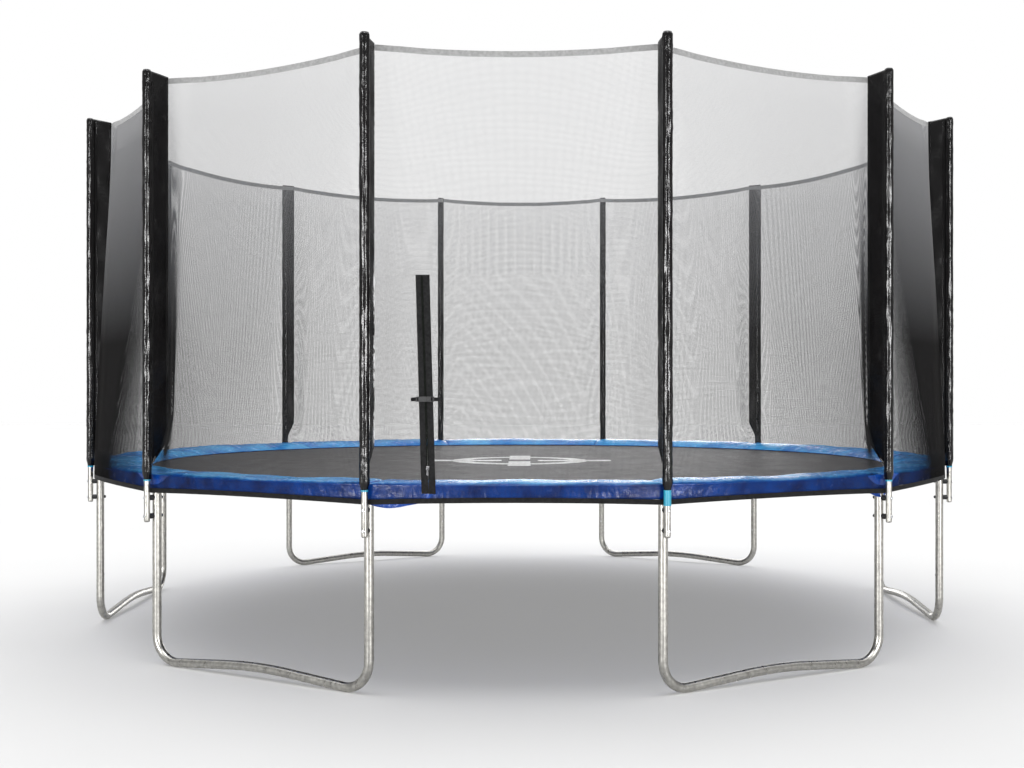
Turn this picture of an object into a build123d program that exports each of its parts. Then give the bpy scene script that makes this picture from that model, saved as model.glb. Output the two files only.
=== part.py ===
from build123d import *

import os
from math import asin, atan2, cos, degrees, hypot, radians, sin, sqrt, tan

# Round garden trampoline with six W-shaped legs, a ring of coil springs and an outside safety net.
# Millimetres, +Z up. The origin is on the ground under the centre of the mat, and -Y is the door side.
# Most pieces are made once on the +X side, at radius x, and then turned to their own angle.
# An angle named theta is counted from the door side (-Y) towards +X.

os.makedirs("parts", exist_ok=True)

# ---- Driving dimensions: the steel frame ----
FRAME_OUTER_D = 4880.0  # across the outside of the top rail
POLE_COUNT = 12  # enclosure poles, uprights and rail sockets
LEG_COUNT = 6  # W-shaped bases, each under two uprights
TUBE_OD = 42.0
TUBE_WALL = 1.5
RAIL_Z = 865.0  # centre of the top rail above the ground
SOCKET_ARM = 80.0  # half length of a socket's arm along the rail
RAIL_INSERT = 50.0  # swaged rail end inside a socket
STUB_DROP = 93.0  # from the rail's centre to the lower end of a socket's stub
UPRIGHT_INSERT = 60.0  # swaged upright end inside the stub or the base
SEAM_Z = 297.0  # joint between an upright and its base
SWAGE_CLEARANCE = 0.3  # radial, between a swaged end and the tube round it
SHOULDER = 2.0  # length of the step behind a swaged end
LEG_BEND_R = 125.0  # centre line radius of a base's two corners
LEG_HUMP = 38.0  # rise of a base's middle above its two feet
LEG_HUMP_R = 2400.0  # centre line radius at the top of that rise
SCREW_DROP = 25.0  # self-tapping leg screw below the seam
SCREW_R = 2.4
SCREW_HEAD_R = 5.0

# ---- Driving dimensions: the enclosure poles ----
POLE_OD = 28.0
POLE_WALL = 1.5
POLE_GAP = 17.0  # clear space between leg and pole, filled by the spacers
POLE_DROP = 187.0  # from the rail's centre to a pole's foot
POLE_LOWER_LENGTH = 1067.0  # from a pole's foot to its joint
POLE_JOINT_INSERT = 80.0
POLE_TOP_Z = 2802.0
POLE_CAP_HEIGHT = 8.0
POLE_CAP_PLUG = 12.0
BOLT_DROPS = (159.0, 72.0)  # below the rail's centre
BOLT_R = 4.0
BOLT_CLEARANCE = 0.3
BOLT_HEAD_R = 7.0
BOLT_HEAD_HEIGHT = 5.0
BOLT_TAIL = 10.0  # thread that stands out inside the leg
NUT_ACROSS_FLATS = 13.0
NUT_HEIGHT = 7.0
SPACER_R = 13.0

# ---- Driving dimensions: foam, sleeves and cuffs ----
FOAM_OD = 42.0
FOAM_RISE = 97.0  # lower end of the foam above the rail's centre
FABRIC_GAP = 0.4  # loose fit of cloth on what is inside it
SLEEVE_WALL = 1.6
SLEEVE_TOP_GAP = 9.4  # from the pole's end to the inside of the sleeve's closed top
SLEEVE_RISE = 15.0  # lower end of the sleeve above the rail's centre
SLEEVE_NECK = 50.0  # length of sleeve that hugs the bare pole
GUSSET_WIDTH = 112.0  # pole centre to the net seam, above the gusset's taper
GUSSET_THICKNESS = 3.0
CUFF_HEIGHT = 8.0
LONG_CUFF_HEIGHT = 66.0  # the one cuff that is pulled down, beside the door panel
LONG_CUFF_THETA = 15.0

# ---- Driving dimensions: mat and springs ----
SPRING_COUNT = 108
SPRING_LENGTH = 178.0  # between the two hooks' centre lines
SPRING_OD = 24.0
SPRING_WIRE = 3.2
HOOK_REACH = 30.0  # from a hook's centre line to the end of the coil
HOOK_INSET = 7.0  # hook inside the rail's centre line
HOOK_HOLE_R = 2.6
HOOK_CLEARANCE = 0.3
HOOK_DROP = 11.0
SPRING_RISE = 7.0  # springs' axis and the mat above the rail's centre
MAT_THICKNESS = 3.0
STITCH_WIDTH = 2.0  # sunk row of stitches round the mat, just inside the pad
STITCH_DEPTH = 0.5
RING_WIRE = 4.0
RING_DEPTH = 30.0
RING_WIDE = 40.0
RING_NARROW = 10.0
TAB_LENGTH = 16.0
TAB_WIDTH = 25.0
TAB_THICKNESS = 8.0
WEBBING_WIDTH = 40.0
WEBBING_THICKNESS = 1.5

# ---- Driving dimensions: safety pad ----
PAD_WIDTH = 304.0
PAD_OVERHANG = 3.0  # pad's outer edge outside the rail
PAD_RISE = 51.0  # top of the pad above the rail's centre
PAD_SEAM_GAP = 1.0  # between two sections of the pad
SKIRT_THICKNESS = 2.0
SKIRT_DROP = 27.0  # lower edge of the skirt below the rail's centre
TIE_WIDTH = 20.0
TIE_THICKNESS = 1.4

# ---- Driving dimensions: safety net and door ----
NET_THICKNESS = 1.2
NET_STANDOFF = 3.3  # net's middle outside the pad's edge
NET_TOP_DROP = 12.0  # top of the hem at a pole, below the pole's end
NET_SAG = 31.0  # how far the hem hangs in the middle of a panel
TOP_HEM_HEIGHT = 26.0
HEM_THICKNESS = 2.4
BOTTOM_HEM_HEIGHT = 22.0
HEM_POLE_DROP = 50.0  # lower edge of the bottom hem below the rail's centre, at a pole
HEM_MID_DROP = 35.0  # and in the middle of a panel
NET_BEND_RISE = 29.0  # net stands upright up to this height over the pad, and then leans in
NET_SEAM_RISE = 115.0  # from there to where its seam meets the sleeve's full gusset
NET_SEAM_SPREAD = 4.0  # degrees over which a sleeve draws the net in
NET_LEVELS = 5  # steps in height from the gusset's taper to the top hem
NET_STATIONS = 13
SEW_GAP = 0.2  # between two sewn pieces
HOOK_STRAP_WIDTH = 12.0
HOOK_STRAP_THICKNESS = 1.5

DOOR_BOTTOM_X = -368.0
DOOR_TOP_X = -399.0
DOOR_RISE = 36.0  # lower end of the zip above the pad
DOOR_HEIGHT = 838.0
DOOR_FLAP = 86.0  # length of tape below the zip
DOOR_WIDTH = 52.0
DOOR_SLIT = 18.0
TAPE_THICKNESS = 1.2
TAPE_GAP = 4.4
COIL_WIDTH = 3.0
COIL_HEIGHT = 2.6
COIL_GAP = 1.8
SLIDER_LENGTH = 16.0
SLIDER_WIDTH = 13.0
SLIDER_PLATE = 1.5
SLIDER_CLEARANCE = 0.4
SLIDER_REST = 22.0  # slider's middle above the lower end of the zip
PIN_R = 0.8
PIN_FIT = 0.08
PULL_BARREL_R = 1.9
PULL_LENGTH = 30.0
PULL_WIDTH = 8.0
PULL_THICKNESS = 1.5
BUCKLE_RISE = 310.0  # above the lower end of the zip
BUCKLE_HEIGHT = 22.0  # along the zip
BUCKLE_THICKNESS = 8.0
BUCKLE_STANDOFF = 16.0  # room for the slider to pass behind
SOCKET_LENGTH = 44.0
PLUG_LENGTH = 32.0
PRONG_LENGTH = 18.0
PRONG_CLEARANCE = 0.5
STRAP_RUN = 26.0
STRAP_THICKNESS = 1.6

# ---- Worked out from those ----
TUBE_R = TUBE_OD / 2
BORE_R = TUBE_R - TUBE_WALL
SWAGE_R = BORE_R - SWAGE_CLEARANCE
SWAGE_BORE_R = SWAGE_R - TUBE_WALL
RING_R = FRAME_OUTER_D / 2 - TUBE_R
STUB_BOTTOM_Z = RAIL_Z - STUB_DROP
PITCH = 360 / POLE_COUNT
HALF_PITCH = PITCH / 2
POLE_R = POLE_OD / 2
POLE_RING_R = RING_R + TUBE_R + POLE_GAP + POLE_R
POLE_BOTTOM_Z = RAIL_Z - POLE_DROP
POLE_JOINT_Z = POLE_BOTTOM_Z + POLE_LOWER_LENGTH
BOLT_HEIGHTS = [RAIL_Z - drop for drop in BOLT_DROPS]
FOAM_BOTTOM_Z = RAIL_Z + FOAM_RISE
SLEEVE_TOP_Z = POLE_TOP_Z + SLEEVE_TOP_GAP + SLEEVE_WALL
SLEEVE_BOTTOM_Z = RAIL_Z + SLEEVE_RISE
SLEEVE_NECK_Z = SLEEVE_BOTTOM_Z + SLEEVE_NECK
HOOK_R = RING_R - HOOK_INSET
HOOK_PLAY = HOOK_HOLE_R - SPRING_WIRE / 2 - HOOK_CLEARANCE
INNER_HOOK_R = HOOK_R - SPRING_LENGTH
SPRING_COIL = SPRING_LENGTH - 2 * HOOK_REACH
SPRING_Z = RAIL_Z + SPRING_RISE
RING_BAR_R = INNER_HOOK_R + SPRING_WIRE / 2 + HOOK_CLEARANCE + RING_WIRE / 2
RING_BACK_R = RING_BAR_R - RING_DEPTH
MAT_R = RING_BACK_R - TAB_LENGTH * 0.7
MAT_TOP_Z = SPRING_Z + MAT_THICKNESS / 2
PAD_OUTER_R = FRAME_OUTER_D / 2 + PAD_OVERHANG
PAD_INNER_R = PAD_OUTER_R - PAD_WIDTH
PAD_TOP_Z = RAIL_Z + PAD_RISE
SKIRT_BOTTOM_Z = RAIL_Z - SKIRT_DROP
NET_LOW_R = PAD_OUTER_R + SKIRT_THICKNESS / 2 + NET_STANDOFF - NET_THICKNESS / 2
NET_HIGH_R = POLE_RING_R - GUSSET_WIDTH
NET_TOP_Z = POLE_TOP_Z - NET_TOP_DROP
NET_BEND_Z = PAD_TOP_Z + NET_BEND_RISE
NET_SEAM_Z = NET_BEND_Z + NET_SEAM_RISE
HEM_POLE_Z = RAIL_Z - HEM_POLE_DROP
HEM_MID_Z = RAIL_Z - HEM_MID_DROP
DOOR_BOTTOM_Z = PAD_TOP_Z + DOOR_RISE
DOOR_TOP_Z = DOOR_BOTTOM_Z + DOOR_HEIGHT
DOOR_FLAP_BOTTOM_Z = DOOR_BOTTOM_Z - DOOR_FLAP
BUCKLE_Z = DOOR_BOTTOM_Z + BUCKLE_RISE
POLE_THETAS = [HALF_PITCH + PITCH * k for k in range(POLE_COUNT)]
LEG_THETAS = [PITCH + 360 / LEG_COUNT * k for k in range(LEG_COUNT)]


# ---- Helpers ----
def turned(shape, theta):
    """A shape made on +X, carried round to theta from the door side."""
    return shape.rotate(Axis.Z, theta - 90)


def ring_of(shape, thetas):
    return [turned(shape, theta) for theta in thetas]


def write(node, shapes):
    """One STEP file; every piece in it stays a solid of its own."""
    solids = []
    for shape in shapes:
        solids += shape.solids()
    export_step(Compound(solids), f"parts/{node}.step")
    print(node, len(solids))


def upright_rod(radius, low, high, x=0.0):
    """Solid round bar along Z, centred at (x, 0)."""
    return Pos(x, 0, (low + high) / 2) * Cylinder(radius, high - low)


def radial_rod(radius, inner, outer, z):
    """Solid round bar along X."""
    return Pos((inner + outer) / 2, 0, z) * Rot(0, 90, 0) * Cylinder(radius, outer - inner)


def block(x0, x1, y0, y1, z0, z1):
    return Pos((x0 + x1) / 2, (y0 + y1) / 2, (z0 + z1) / 2) * Box(x1 - x0, y1 - y0, z1 - z0)


def curved_bar(radius, start, end, ring=RING_R, z=RAIL_Z):
    """Round bar bent along a ring, from one angle to another."""
    section = Pos(ring, 0, z) * Rot(90, 0, 0) * Circle(radius)
    return revolve(section, Axis.Z, revolution_arc=end - start).rotate(Axis.Z, start)


def profile_ring(points, start, end):
    """A closed outline of (radius, z) points carried round from one angle to another."""
    face = make_face(Polyline(*[(r, 0, z) for r, z in points], close=True))
    return revolve(face, Axis.Z, revolution_arc=end - start).rotate(Axis.Z, start)


def wire_sweep(points, bends, radius):
    """Round wire along straight runs joined by arcs."""
    path = FilletPolyline(*points, radius=bends)
    start = Plane(origin=path @ 0, z_dir=path % 0)
    return sweep(start * Circle(radius), path)


def stacked(outlines):
    """Solid between closed outlines of the same number of corners."""
    return Solid.make_loft([Wire.make_polygon(outline, close=True) for outline in outlines], ruled=True)


# ---- Top rail and sockets ----
def arc_degrees(length, ring=RING_R):
    return degrees(length / ring)


def hook_hole():
    return upright_rod(HOOK_HOLE_R, RAIL_Z + TUBE_R / 2, RAIL_Z + TUBE_OD, HOOK_R + HOOK_PLAY)


def top_rail():
    """One rail between two sockets, centred on +X, with a swaged end each side."""
    end = HALF_PITCH - arc_degrees(SOCKET_ARM)
    insert = arc_degrees(RAIL_INSERT)
    step = arc_degrees(SHOULDER)
    outside = curved_bar(TUBE_R, -end, end) + curved_bar(SWAGE_R, -end - insert, end + insert)
    inside = curved_bar(BORE_R, step - end, end - step)
    inside += curved_bar(SWAGE_BORE_R, -end - 2 * insert, end + 2 * insert)
    per_rail = SPRING_COUNT // POLE_COUNT
    spacing = PITCH / per_rail
    holes = [hook_hole().rotate(Axis.Z, spacing * (k - per_rail / 2)) for k in range(1, per_rail)]
    return outside - inside - holes


def rail_socket():
    """T-shaped socket on +X: an arm each way along the rail and a stub down to the upright."""
    arm = arc_degrees(SOCKET_ARM)
    outside = curved_bar(TUBE_R, -arm, arm) + upright_rod(TUBE_R, STUB_BOTTOM_Z, RAIL_Z, RING_R)
    inside = curved_bar(BORE_R, -2 * arm, 2 * arm)
    inside += upright_rod(BORE_R, STUB_BOTTOM_Z - TUBE_R, RAIL_Z, RING_R)
    return outside - inside - hook_hole() - bolt_holes(RING_R, TUBE_R)


def bolt_holes(ring, reach):
    bore = BOLT_R + BOLT_CLEARANCE
    return [radial_rod(bore, ring - 2 * reach, ring + 2 * reach, z) for z in BOLT_HEIGHTS]


# ---- Legs ----
def leg_upright():
    """Straight tube on +X, swaged at both ends."""
    shaft = upright_rod(TUBE_R, SEAM_Z, STUB_BOTTOM_Z, RING_R)
    swage = upright_rod(SWAGE_R, SEAM_Z - UPRIGHT_INSERT, STUB_BOTTOM_Z + UPRIGHT_INSERT, RING_R)
    bore = upright_rod(BORE_R, SEAM_Z + SHOULDER, STUB_BOTTOM_Z - SHOULDER, RING_R)
    bore += upright_rod(SWAGE_BORE_R, 0, RAIL_Z, RING_R)
    return shaft + swage - bore - bolt_holes(RING_R, TUBE_R) - screw_hole()


def screw_hole():
    return radial_rod(SCREW_R + SWAGE_CLEARANCE, RING_R - 2 * TUBE_R, RING_R, SEAM_Z - SCREW_DROP)


def leg_base():
    """W-shaped base centred on +X: down, along over a low hump, and up again."""
    plane_x = RING_R * cos(radians(HALF_PITCH))
    half = RING_R * sin(radians(HALF_PITCH))
    slope = LEG_HUMP / (half - LEG_BEND_R)
    corner_z = TUBE_R - LEG_BEND_R * (slope + sqrt(1 + slope * slope) - 1)
    peak_z = corner_z + slope * half
    points = [
        (plane_x, -half, SEAM_Z),
        (plane_x, -half, corner_z),
        (plane_x, 0, peak_z),
        (plane_x, half, corner_z),
        (plane_x, half, SEAM_Z),
    ]
    bends = [LEG_BEND_R, LEG_HUMP_R, LEG_BEND_R]
    base = wire_sweep(points, bends, TUBE_R) - wire_sweep(points, bends, BORE_R)
    return base - [screw_hole().rotate(Axis.Z, side * HALF_PITCH) for side in (-1, 1)]


def leg_screw():
    """Self-tapping screw with a domed head, on the leg's inner side."""
    z = SEAM_Z - SCREW_DROP
    face = RING_R - TUBE_R
    shank = radial_rod(SCREW_R, face, face + 3 * TUBE_WALL, z)
    head = radial_rod(SCREW_HEAD_R, face - SCREW_R, face, z)
    return shank + fillet(head.edges().sort_by(Axis.X)[0], SCREW_R / 2)


# ---- Enclosure poles ----
def enclosure_pole():
    """Lower and upper tube on +X; the upper one is swaged into the lower one."""
    tube_bottom = POLE_BOTTOM_Z + POLE_CAP_HEIGHT
    bore_r = POLE_R - POLE_WALL
    swage_r = bore_r - SWAGE_CLEARANCE
    lower = upright_rod(POLE_R, tube_bottom, POLE_JOINT_Z, POLE_RING_R)
    lower -= upright_rod(bore_r, 0, POLE_TOP_Z, POLE_RING_R)
    lower -= bolt_holes(POLE_RING_R, POLE_R)
    upper = upright_rod(POLE_R, POLE_JOINT_Z, POLE_TOP_Z, POLE_RING_R)
    upper += upright_rod(swage_r, POLE_JOINT_Z - POLE_JOINT_INSERT, POLE_TOP_Z, POLE_RING_R)
    upper -= upright_rod(bore_r, POLE_JOINT_Z + SHOULDER, POLE_TOP_Z, POLE_RING_R)
    upper -= upright_rod(swage_r - POLE_WALL, 0, POLE_TOP_Z, POLE_RING_R)
    return [lower, upper]


def pole_end_cap():
    """Rounded foot of a pole, with its plug inside the tube."""
    top = POLE_BOTTOM_Z + POLE_CAP_HEIGHT
    cap = upright_rod(POLE_R, POLE_BOTTOM_Z, top, POLE_RING_R)
    cap = fillet(cap.edges().sort_by(Axis.Z)[0], POLE_CAP_HEIGHT * 0.9)
    return cap + upright_rod(POLE_R - POLE_WALL - FABRIC_GAP, top, top + POLE_CAP_PLUG, POLE_RING_R)


def pole_top_cap():
    """Flat plastic cap in the top of a pole, under the sleeve."""
    rim_height = POLE_CAP_HEIGHT / 2
    rim = upright_rod(POLE_R, POLE_TOP_Z, POLE_TOP_Z + rim_height, POLE_RING_R)
    rim = fillet(rim.edges().sort_by(Axis.Z)[-1], rim_height / 2)
    plug_r = POLE_R - POLE_WALL - FABRIC_GAP
    return rim + upright_rod(plug_r, POLE_TOP_Z - POLE_CAP_PLUG, POLE_TOP_Z, POLE_RING_R)


def pole_spacer(z):
    """Saddle between leg and pole, bored for the bolt."""
    body = radial_rod(SPACER_R, RING_R, POLE_RING_R, z)
    body -= upright_rod(TUBE_R + SEW_GAP, 0, POLE_TOP_Z, RING_R)
    body -= upright_rod(POLE_R + SEW_GAP, 0, POLE_TOP_Z, POLE_RING_R)
    return body - radial_rod(BOLT_R + BOLT_CLEARANCE, RING_R, POLE_RING_R, z)


def pole_bolt(z):
    """Round headed bolt from outside the pole to inside the leg."""
    seat = POLE_RING_R + POLE_R
    shank = radial_rod(BOLT_R, RING_R - TUBE_R - BOLT_TAIL, seat, z)
    head = radial_rod(BOLT_HEAD_R, seat, seat + BOLT_HEAD_HEIGHT, z)
    return shank + fillet(head.edges().sort_by(Axis.X)[-1], BOLT_HEAD_HEIGHT * 0.7)


def pole_nut(z):
    """Hexagon nut against the leg's inner side."""
    seat = RING_R - TUBE_R
    outline = RegularPolygon(NUT_ACROSS_FLATS / 2, 6, major_radius=False)
    section = outline - Circle(BOLT_R + BOLT_CLEARANCE / 3)
    return extrude(Plane(origin=(seat - NUT_HEIGHT, 0, z), z_dir=(1, 0, 0)) * section, NUT_HEIGHT)


def pole_foam():
    """Closed-cell foam tube on the upper part of a pole."""
    top = POLE_TOP_Z - POLE_CAP_PLUG
    tube = upright_rod(FOAM_OD / 2, FOAM_BOTTOM_Z, top, POLE_RING_R)
    return tube - upright_rod(POLE_R + FABRIC_GAP, 0, POLE_TOP_Z, POLE_RING_R)


def pole_sleeve():
    """Sleeve closed at the top and narrow at the foot, with a flat gusset in to the net's seam."""
    wide = FOAM_OD / 2 + FABRIC_GAP
    narrow = POLE_R + FABRIC_GAP
    shoulder_z = FOAM_BOTTOM_Z - SLEEVE_WALL
    outline = [
        (narrow, 0, SLEEVE_BOTTOM_Z),
        (narrow + SLEEVE_WALL, 0, SLEEVE_BOTTOM_Z),
        (narrow + SLEEVE_WALL, 0, SLEEVE_NECK_Z),
        (wide + SLEEVE_WALL, 0, shoulder_z),
        (wide + SLEEVE_WALL, 0, SLEEVE_TOP_Z),
        (0, 0, SLEEVE_TOP_Z),
        (0, 0, SLEEVE_TOP_Z - SLEEVE_WALL),
        (wide, 0, SLEEVE_TOP_Z - SLEEVE_WALL),
        (wide, 0, shoulder_z),
        (narrow, 0, SLEEVE_NECK_Z),
    ]
    tube = Pos(POLE_RING_R, 0, 0) * revolve(make_face(Polyline(*outline, close=True)), Axis.Z)
    root = POLE_RING_R - wide - SLEEVE_WALL / 2
    neck_root = POLE_RING_R - narrow - SLEEVE_WALL / 2
    seam_out = NET_THICKNESS / 2 + SEW_GAP
    fin = [
        (root, 0, NET_TOP_Z),
        (NET_HIGH_R + seam_out, 0, NET_TOP_Z),
        (NET_HIGH_R + seam_out, 0, NET_SEAM_Z),
        (NET_LOW_R + HEM_THICKNESS / 2 + SEW_GAP, 0, NET_BEND_Z),
        (NET_LOW_R + HEM_THICKNESS / 2 + SEW_GAP, 0, SLEEVE_BOTTOM_Z),
        (neck_root, 0, SLEEVE_BOTTOM_Z),
        (neck_root, 0, SLEEVE_NECK_Z),
        (root, 0, shoulder_z),
    ]
    return tube + extrude(make_face(Polyline(*fin, close=True)), GUSSET_THICKNESS / 2, both=True)


def sleeve_cuff(height):
    """Hem round the bare pole under a sleeve."""
    top = SLEEVE_BOTTOM_Z - SEW_GAP
    cuff = upright_rod(POLE_R + FABRIC_GAP + SLEEVE_WALL, top - height, top, POLE_RING_R)
    return cuff - upright_rod(POLE_R + FABRIC_GAP, 0, POLE_TOP_Z, POLE_RING_R)


# ---- Mat and springs ----
def spring():
    """Close wound coil as a tube with closed ends, and a wire hook at each end."""
    middle = (HOOK_R + INNER_HOOK_R) / 2
    inner, outer = middle - SPRING_COIL / 2, middle + SPRING_COIL / 2
    wire_r = SPRING_WIRE / 2
    coil = radial_rod(SPRING_OD / 2, inner, outer, SPRING_Z)
    coil -= radial_rod(SPRING_OD / 2 - SPRING_WIRE, inner + SPRING_WIRE, outer - SPRING_WIRE, SPRING_Z)
    over_rail = RAIL_Z + TUBE_R + HOOK_CLEARANCE + wire_r
    rail_hook = [
        (outer - wire_r, 0, SPRING_Z),
        (outer + HOOK_DROP / 2, 0, SPRING_Z),
        (HOOK_R - HOOK_DROP, 0, over_rail),
        (HOOK_R, 0, over_rail),
        (HOOK_R, 0, over_rail - HOOK_DROP),
    ]
    over_ring = SPRING_Z + RING_WIRE / 2 + HOOK_CLEARANCE + wire_r
    ring_hook = [
        (inner + wire_r, 0, SPRING_Z),
        (inner - HOOK_DROP / 2, 0, SPRING_Z),
        (RING_BAR_R + RING_WIRE + SPRING_WIRE, 0, over_ring),
        (INNER_HOOK_R, 0, over_ring),
        (INNER_HOOK_R, 0, over_ring - HOOK_DROP),
    ]
    bends = [SPRING_WIRE] * 3
    return coil + wire_sweep(rail_hook, bends, wire_r) + wire_sweep(ring_hook, bends, wire_r)


def v_ring():
    """Triangular wire ring: the wide side in the mat's tab, the narrow one in the spring's hook."""
    corners = [
        (RING_BACK_R, -RING_WIDE / 2, SPRING_Z),
        (RING_BACK_R, RING_WIDE / 2, SPRING_Z),
        (RING_BAR_R, RING_NARROW / 2, SPRING_Z),
        (RING_BAR_R, -RING_NARROW / 2, SPRING_Z),
    ]
    path = FilletPolyline(*corners, radius=RING_WIRE, close=True)
    start = Plane(origin=path @ 0, z_dir=path % 0)
    return sweep(start * Circle(RING_WIRE / 2), path)


def mat_tab():
    """Webbing loop at the mat's edge round the wide side of a ring."""
    z0, z1 = SPRING_Z - TAB_THICKNESS / 2, SPRING_Z + TAB_THICKNESS / 2
    body = block(MAT_R, MAT_R + TAB_LENGTH, -TAB_WIDTH / 2, TAB_WIDTH / 2, z0, z1)
    tunnel = Pos(RING_BACK_R, 0, SPRING_Z) * Rot(90, 0, 0)
    return body - tunnel * Cylinder(RING_WIRE / 2 + HOOK_CLEARANCE, RING_WIDE)


def jumping_mat():
    """Round sheet with a sunk row of stitches that marks off the clear middle."""
    sheet = Pos(0, 0, SPRING_Z) * Cylinder(MAT_R, MAT_THICKNESS)
    outer = PAD_INNER_R - 2 * STITCH_WIDTH
    row = upright_rod(outer, MAT_TOP_Z - STITCH_DEPTH, PAD_TOP_Z)
    return sheet - (row - upright_rod(outer - STITCH_WIDTH, 0, 2 * PAD_TOP_Z))


def mat_webbing_rings():
    """Flat webbing sewn round the mat, over and under its edge."""
    inner = MAT_R - WEBBING_WIDTH
    rings = []
    for low in (MAT_TOP_Z, SPRING_Z - MAT_THICKNESS / 2 - WEBBING_THICKNESS):
        rings.append(upright_rod(MAT_R, low, low + WEBBING_THICKNESS) - upright_rod(inner, 0, PAD_TOP_Z))
    return rings


# ---- Safety pad ----
def pad_section():
    """One section of the pad on +X: low at the mat, crowned over the springs, round at the rail."""
    over_webbing = MAT_TOP_Z + WEBBING_THICKNESS + 2 * HOOK_CLEARANCE
    over_springs = SPRING_Z + SPRING_OD / 2 + 4 * HOOK_CLEARANCE
    over_hooks = RAIL_Z + TUBE_R + SPRING_WIRE + 8 * HOOK_CLEARANCE
    crown = PAD_TOP_Z - MAT_TOP_Z
    coil_start = INNER_HOOK_R + 2 * HOOK_DROP
    hook_start = HOOK_R - 2 * HOOK_DROP
    outline = [
        (PAD_INNER_R, over_webbing),
        (MAT_R, over_webbing + 2 * HOOK_CLEARANCE),
        (coil_start - HOOK_DROP / 2, over_springs),
        (hook_start, over_springs),
        (hook_start + HOOK_DROP / 2, over_hooks),
        (PAD_OUTER_R, over_hooks),
        (PAD_OUTER_R, PAD_TOP_Z - crown * 0.25),
        (PAD_OUTER_R - PAD_WIDTH * 0.06, PAD_TOP_Z - crown * 0.05),
        (PAD_OUTER_R - PAD_WIDTH * 0.2, PAD_TOP_Z),
        (PAD_OUTER_R - PAD_WIDTH * 0.55, PAD_TOP_Z - crown * 0.03),
        (PAD_INNER_R + PAD_WIDTH * 0.2, PAD_TOP_Z - crown * 0.27),
        (PAD_INNER_R + PAD_WIDTH * 0.04, PAD_TOP_Z - crown * 0.7),
        (PAD_INNER_R, over_webbing + PAD_OVERHANG),
    ]
    half = HALF_PITCH - arc_degrees(PAD_SEAM_GAP / 2, PAD_OUTER_R)
    return profile_ring(outline, -half, half)


def pad_skirt():
    """Cloth that hangs outside the rail from the edge of one pad section."""
    inner = PAD_OUTER_R - SKIRT_THICKNESS / 2
    top = RAIL_Z + TUBE_R + SPRING_WIRE + 8 * HOOK_CLEARANCE - SEW_GAP
    half = HALF_PITCH - arc_degrees(PAD_SEAM_GAP / 2, PAD_OUTER_R)
    outline = [
        (inner, SKIRT_BOTTOM_Z),
        (inner + SKIRT_THICKNESS, SKIRT_BOTTOM_Z),
        (inner + SKIRT_THICKNESS, top),
        (inner, top),
    ]
    return profile_ring(outline, -half, half)


def pad_tie():
    """Elastic loop round the rail with a tab up to the pad."""
    half = arc_degrees(TIE_WIDTH / 2)
    inner = TUBE_R + HOOK_CLEARANCE
    loop = curved_bar(inner + TIE_THICKNESS, -half, half) - curved_bar(inner, -2 * half, 2 * half)
    top = RAIL_Z + TUBE_R + SPRING_WIRE + 8 * HOOK_CLEARANCE - SEW_GAP
    low = RAIL_Z + inner + TIE_THICKNESS / 2
    return loop + block(RING_R - SPRING_WIRE, RING_R + SPRING_WIRE, -TIE_WIDTH / 2, TIE_WIDTH / 2, low, top)


# ---- Safety net ----
def share_between(z, low, high):
    return min(1.0, max(0.0, (z - low) / (high - low)))


def seam_radius(z):
    """The net's edge along a sleeve's gusset."""
    return NET_LOW_R + (NET_HIGH_R - NET_LOW_R) * share_between(z, NET_BEND_Z, NET_SEAM_Z)


def taut_radius(phi, z):
    """Cloth pulled tight from the round of the pad to a straight line between two sleeves."""
    share = share_between(z, NET_BEND_Z, NET_TOP_Z)
    bow, reach = NET_LOW_R * (1 - share), NET_HIGH_R * share
    side, half = radians(abs(phi)), radians(HALF_PITCH)
    flat = (bow + reach * cos(half)) / cos(side)
    if flat * sin(side) <= reach * sin(half):
        return flat
    return reach * cos(half - side) + sqrt(bow * bow - (reach * sin(half - side)) ** 2)


def net_radius(phi, z):
    """Taut between the sleeves and drawn in to its seam beside each of them."""
    away = share_between(HALF_PITCH - abs(phi), 0, NET_SEAM_SPREAD)
    away *= away * (3 - 2 * away)
    return seam_radius(z) + (taut_radius(phi, z) - seam_radius(z)) * away


def hem_top(phi):
    reach = tan(radians(phi)) / tan(radians(HALF_PITCH))
    return NET_TOP_Z - NET_SAG * (1 - reach * reach)


def hem_bottom(phi):
    reach = phi / HALF_PITCH
    return HEM_MID_Z + (HEM_POLE_Z - HEM_MID_Z) * reach * reach


def panel_phis():
    """Angles across a panel, from one gusset's face to the next one's."""
    seam = HALF_PITCH - arc_degrees(GUSSET_THICKNESS / 2, NET_HIGH_R)
    steps = NET_STATIONS - 1
    return [seam * (2 * k / steps - 1) for k in range(NET_STATIONS)]


def upright_strip(levels_at, thickness):
    """Cloth that follows the net's surface through the heights that levels_at gives for each angle."""
    outlines = []
    for phi in panel_phis():
        levels = levels_at(phi)
        rows = [(net_radius(phi, z) + thickness / 2, z) for z in levels]
        rows += [(net_radius(phi, z) - thickness / 2, z) for z in reversed(levels)]
        across, along = cos(radians(phi)), sin(radians(phi))
        outlines.append([(r * across, r * along, z) for r, z in rows])
    return stacked(outlines)


def net_panel():
    def levels_at(phi):
        low = hem_bottom(phi) + BOTTOM_HEM_HEIGHT + SEW_GAP
        high = hem_top(phi) - TOP_HEM_HEIGHT - SEW_GAP
        rise = (high - NET_SEAM_Z) / NET_LEVELS
        return [low, NET_BEND_Z, *(NET_SEAM_Z + rise * k for k in range(NET_LEVELS + 1))]

    return upright_strip(levels_at, NET_THICKNESS)


def top_hem():
    return upright_strip(lambda phi: [hem_top(phi) - TOP_HEM_HEIGHT, hem_top(phi)], HEM_THICKNESS)


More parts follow.
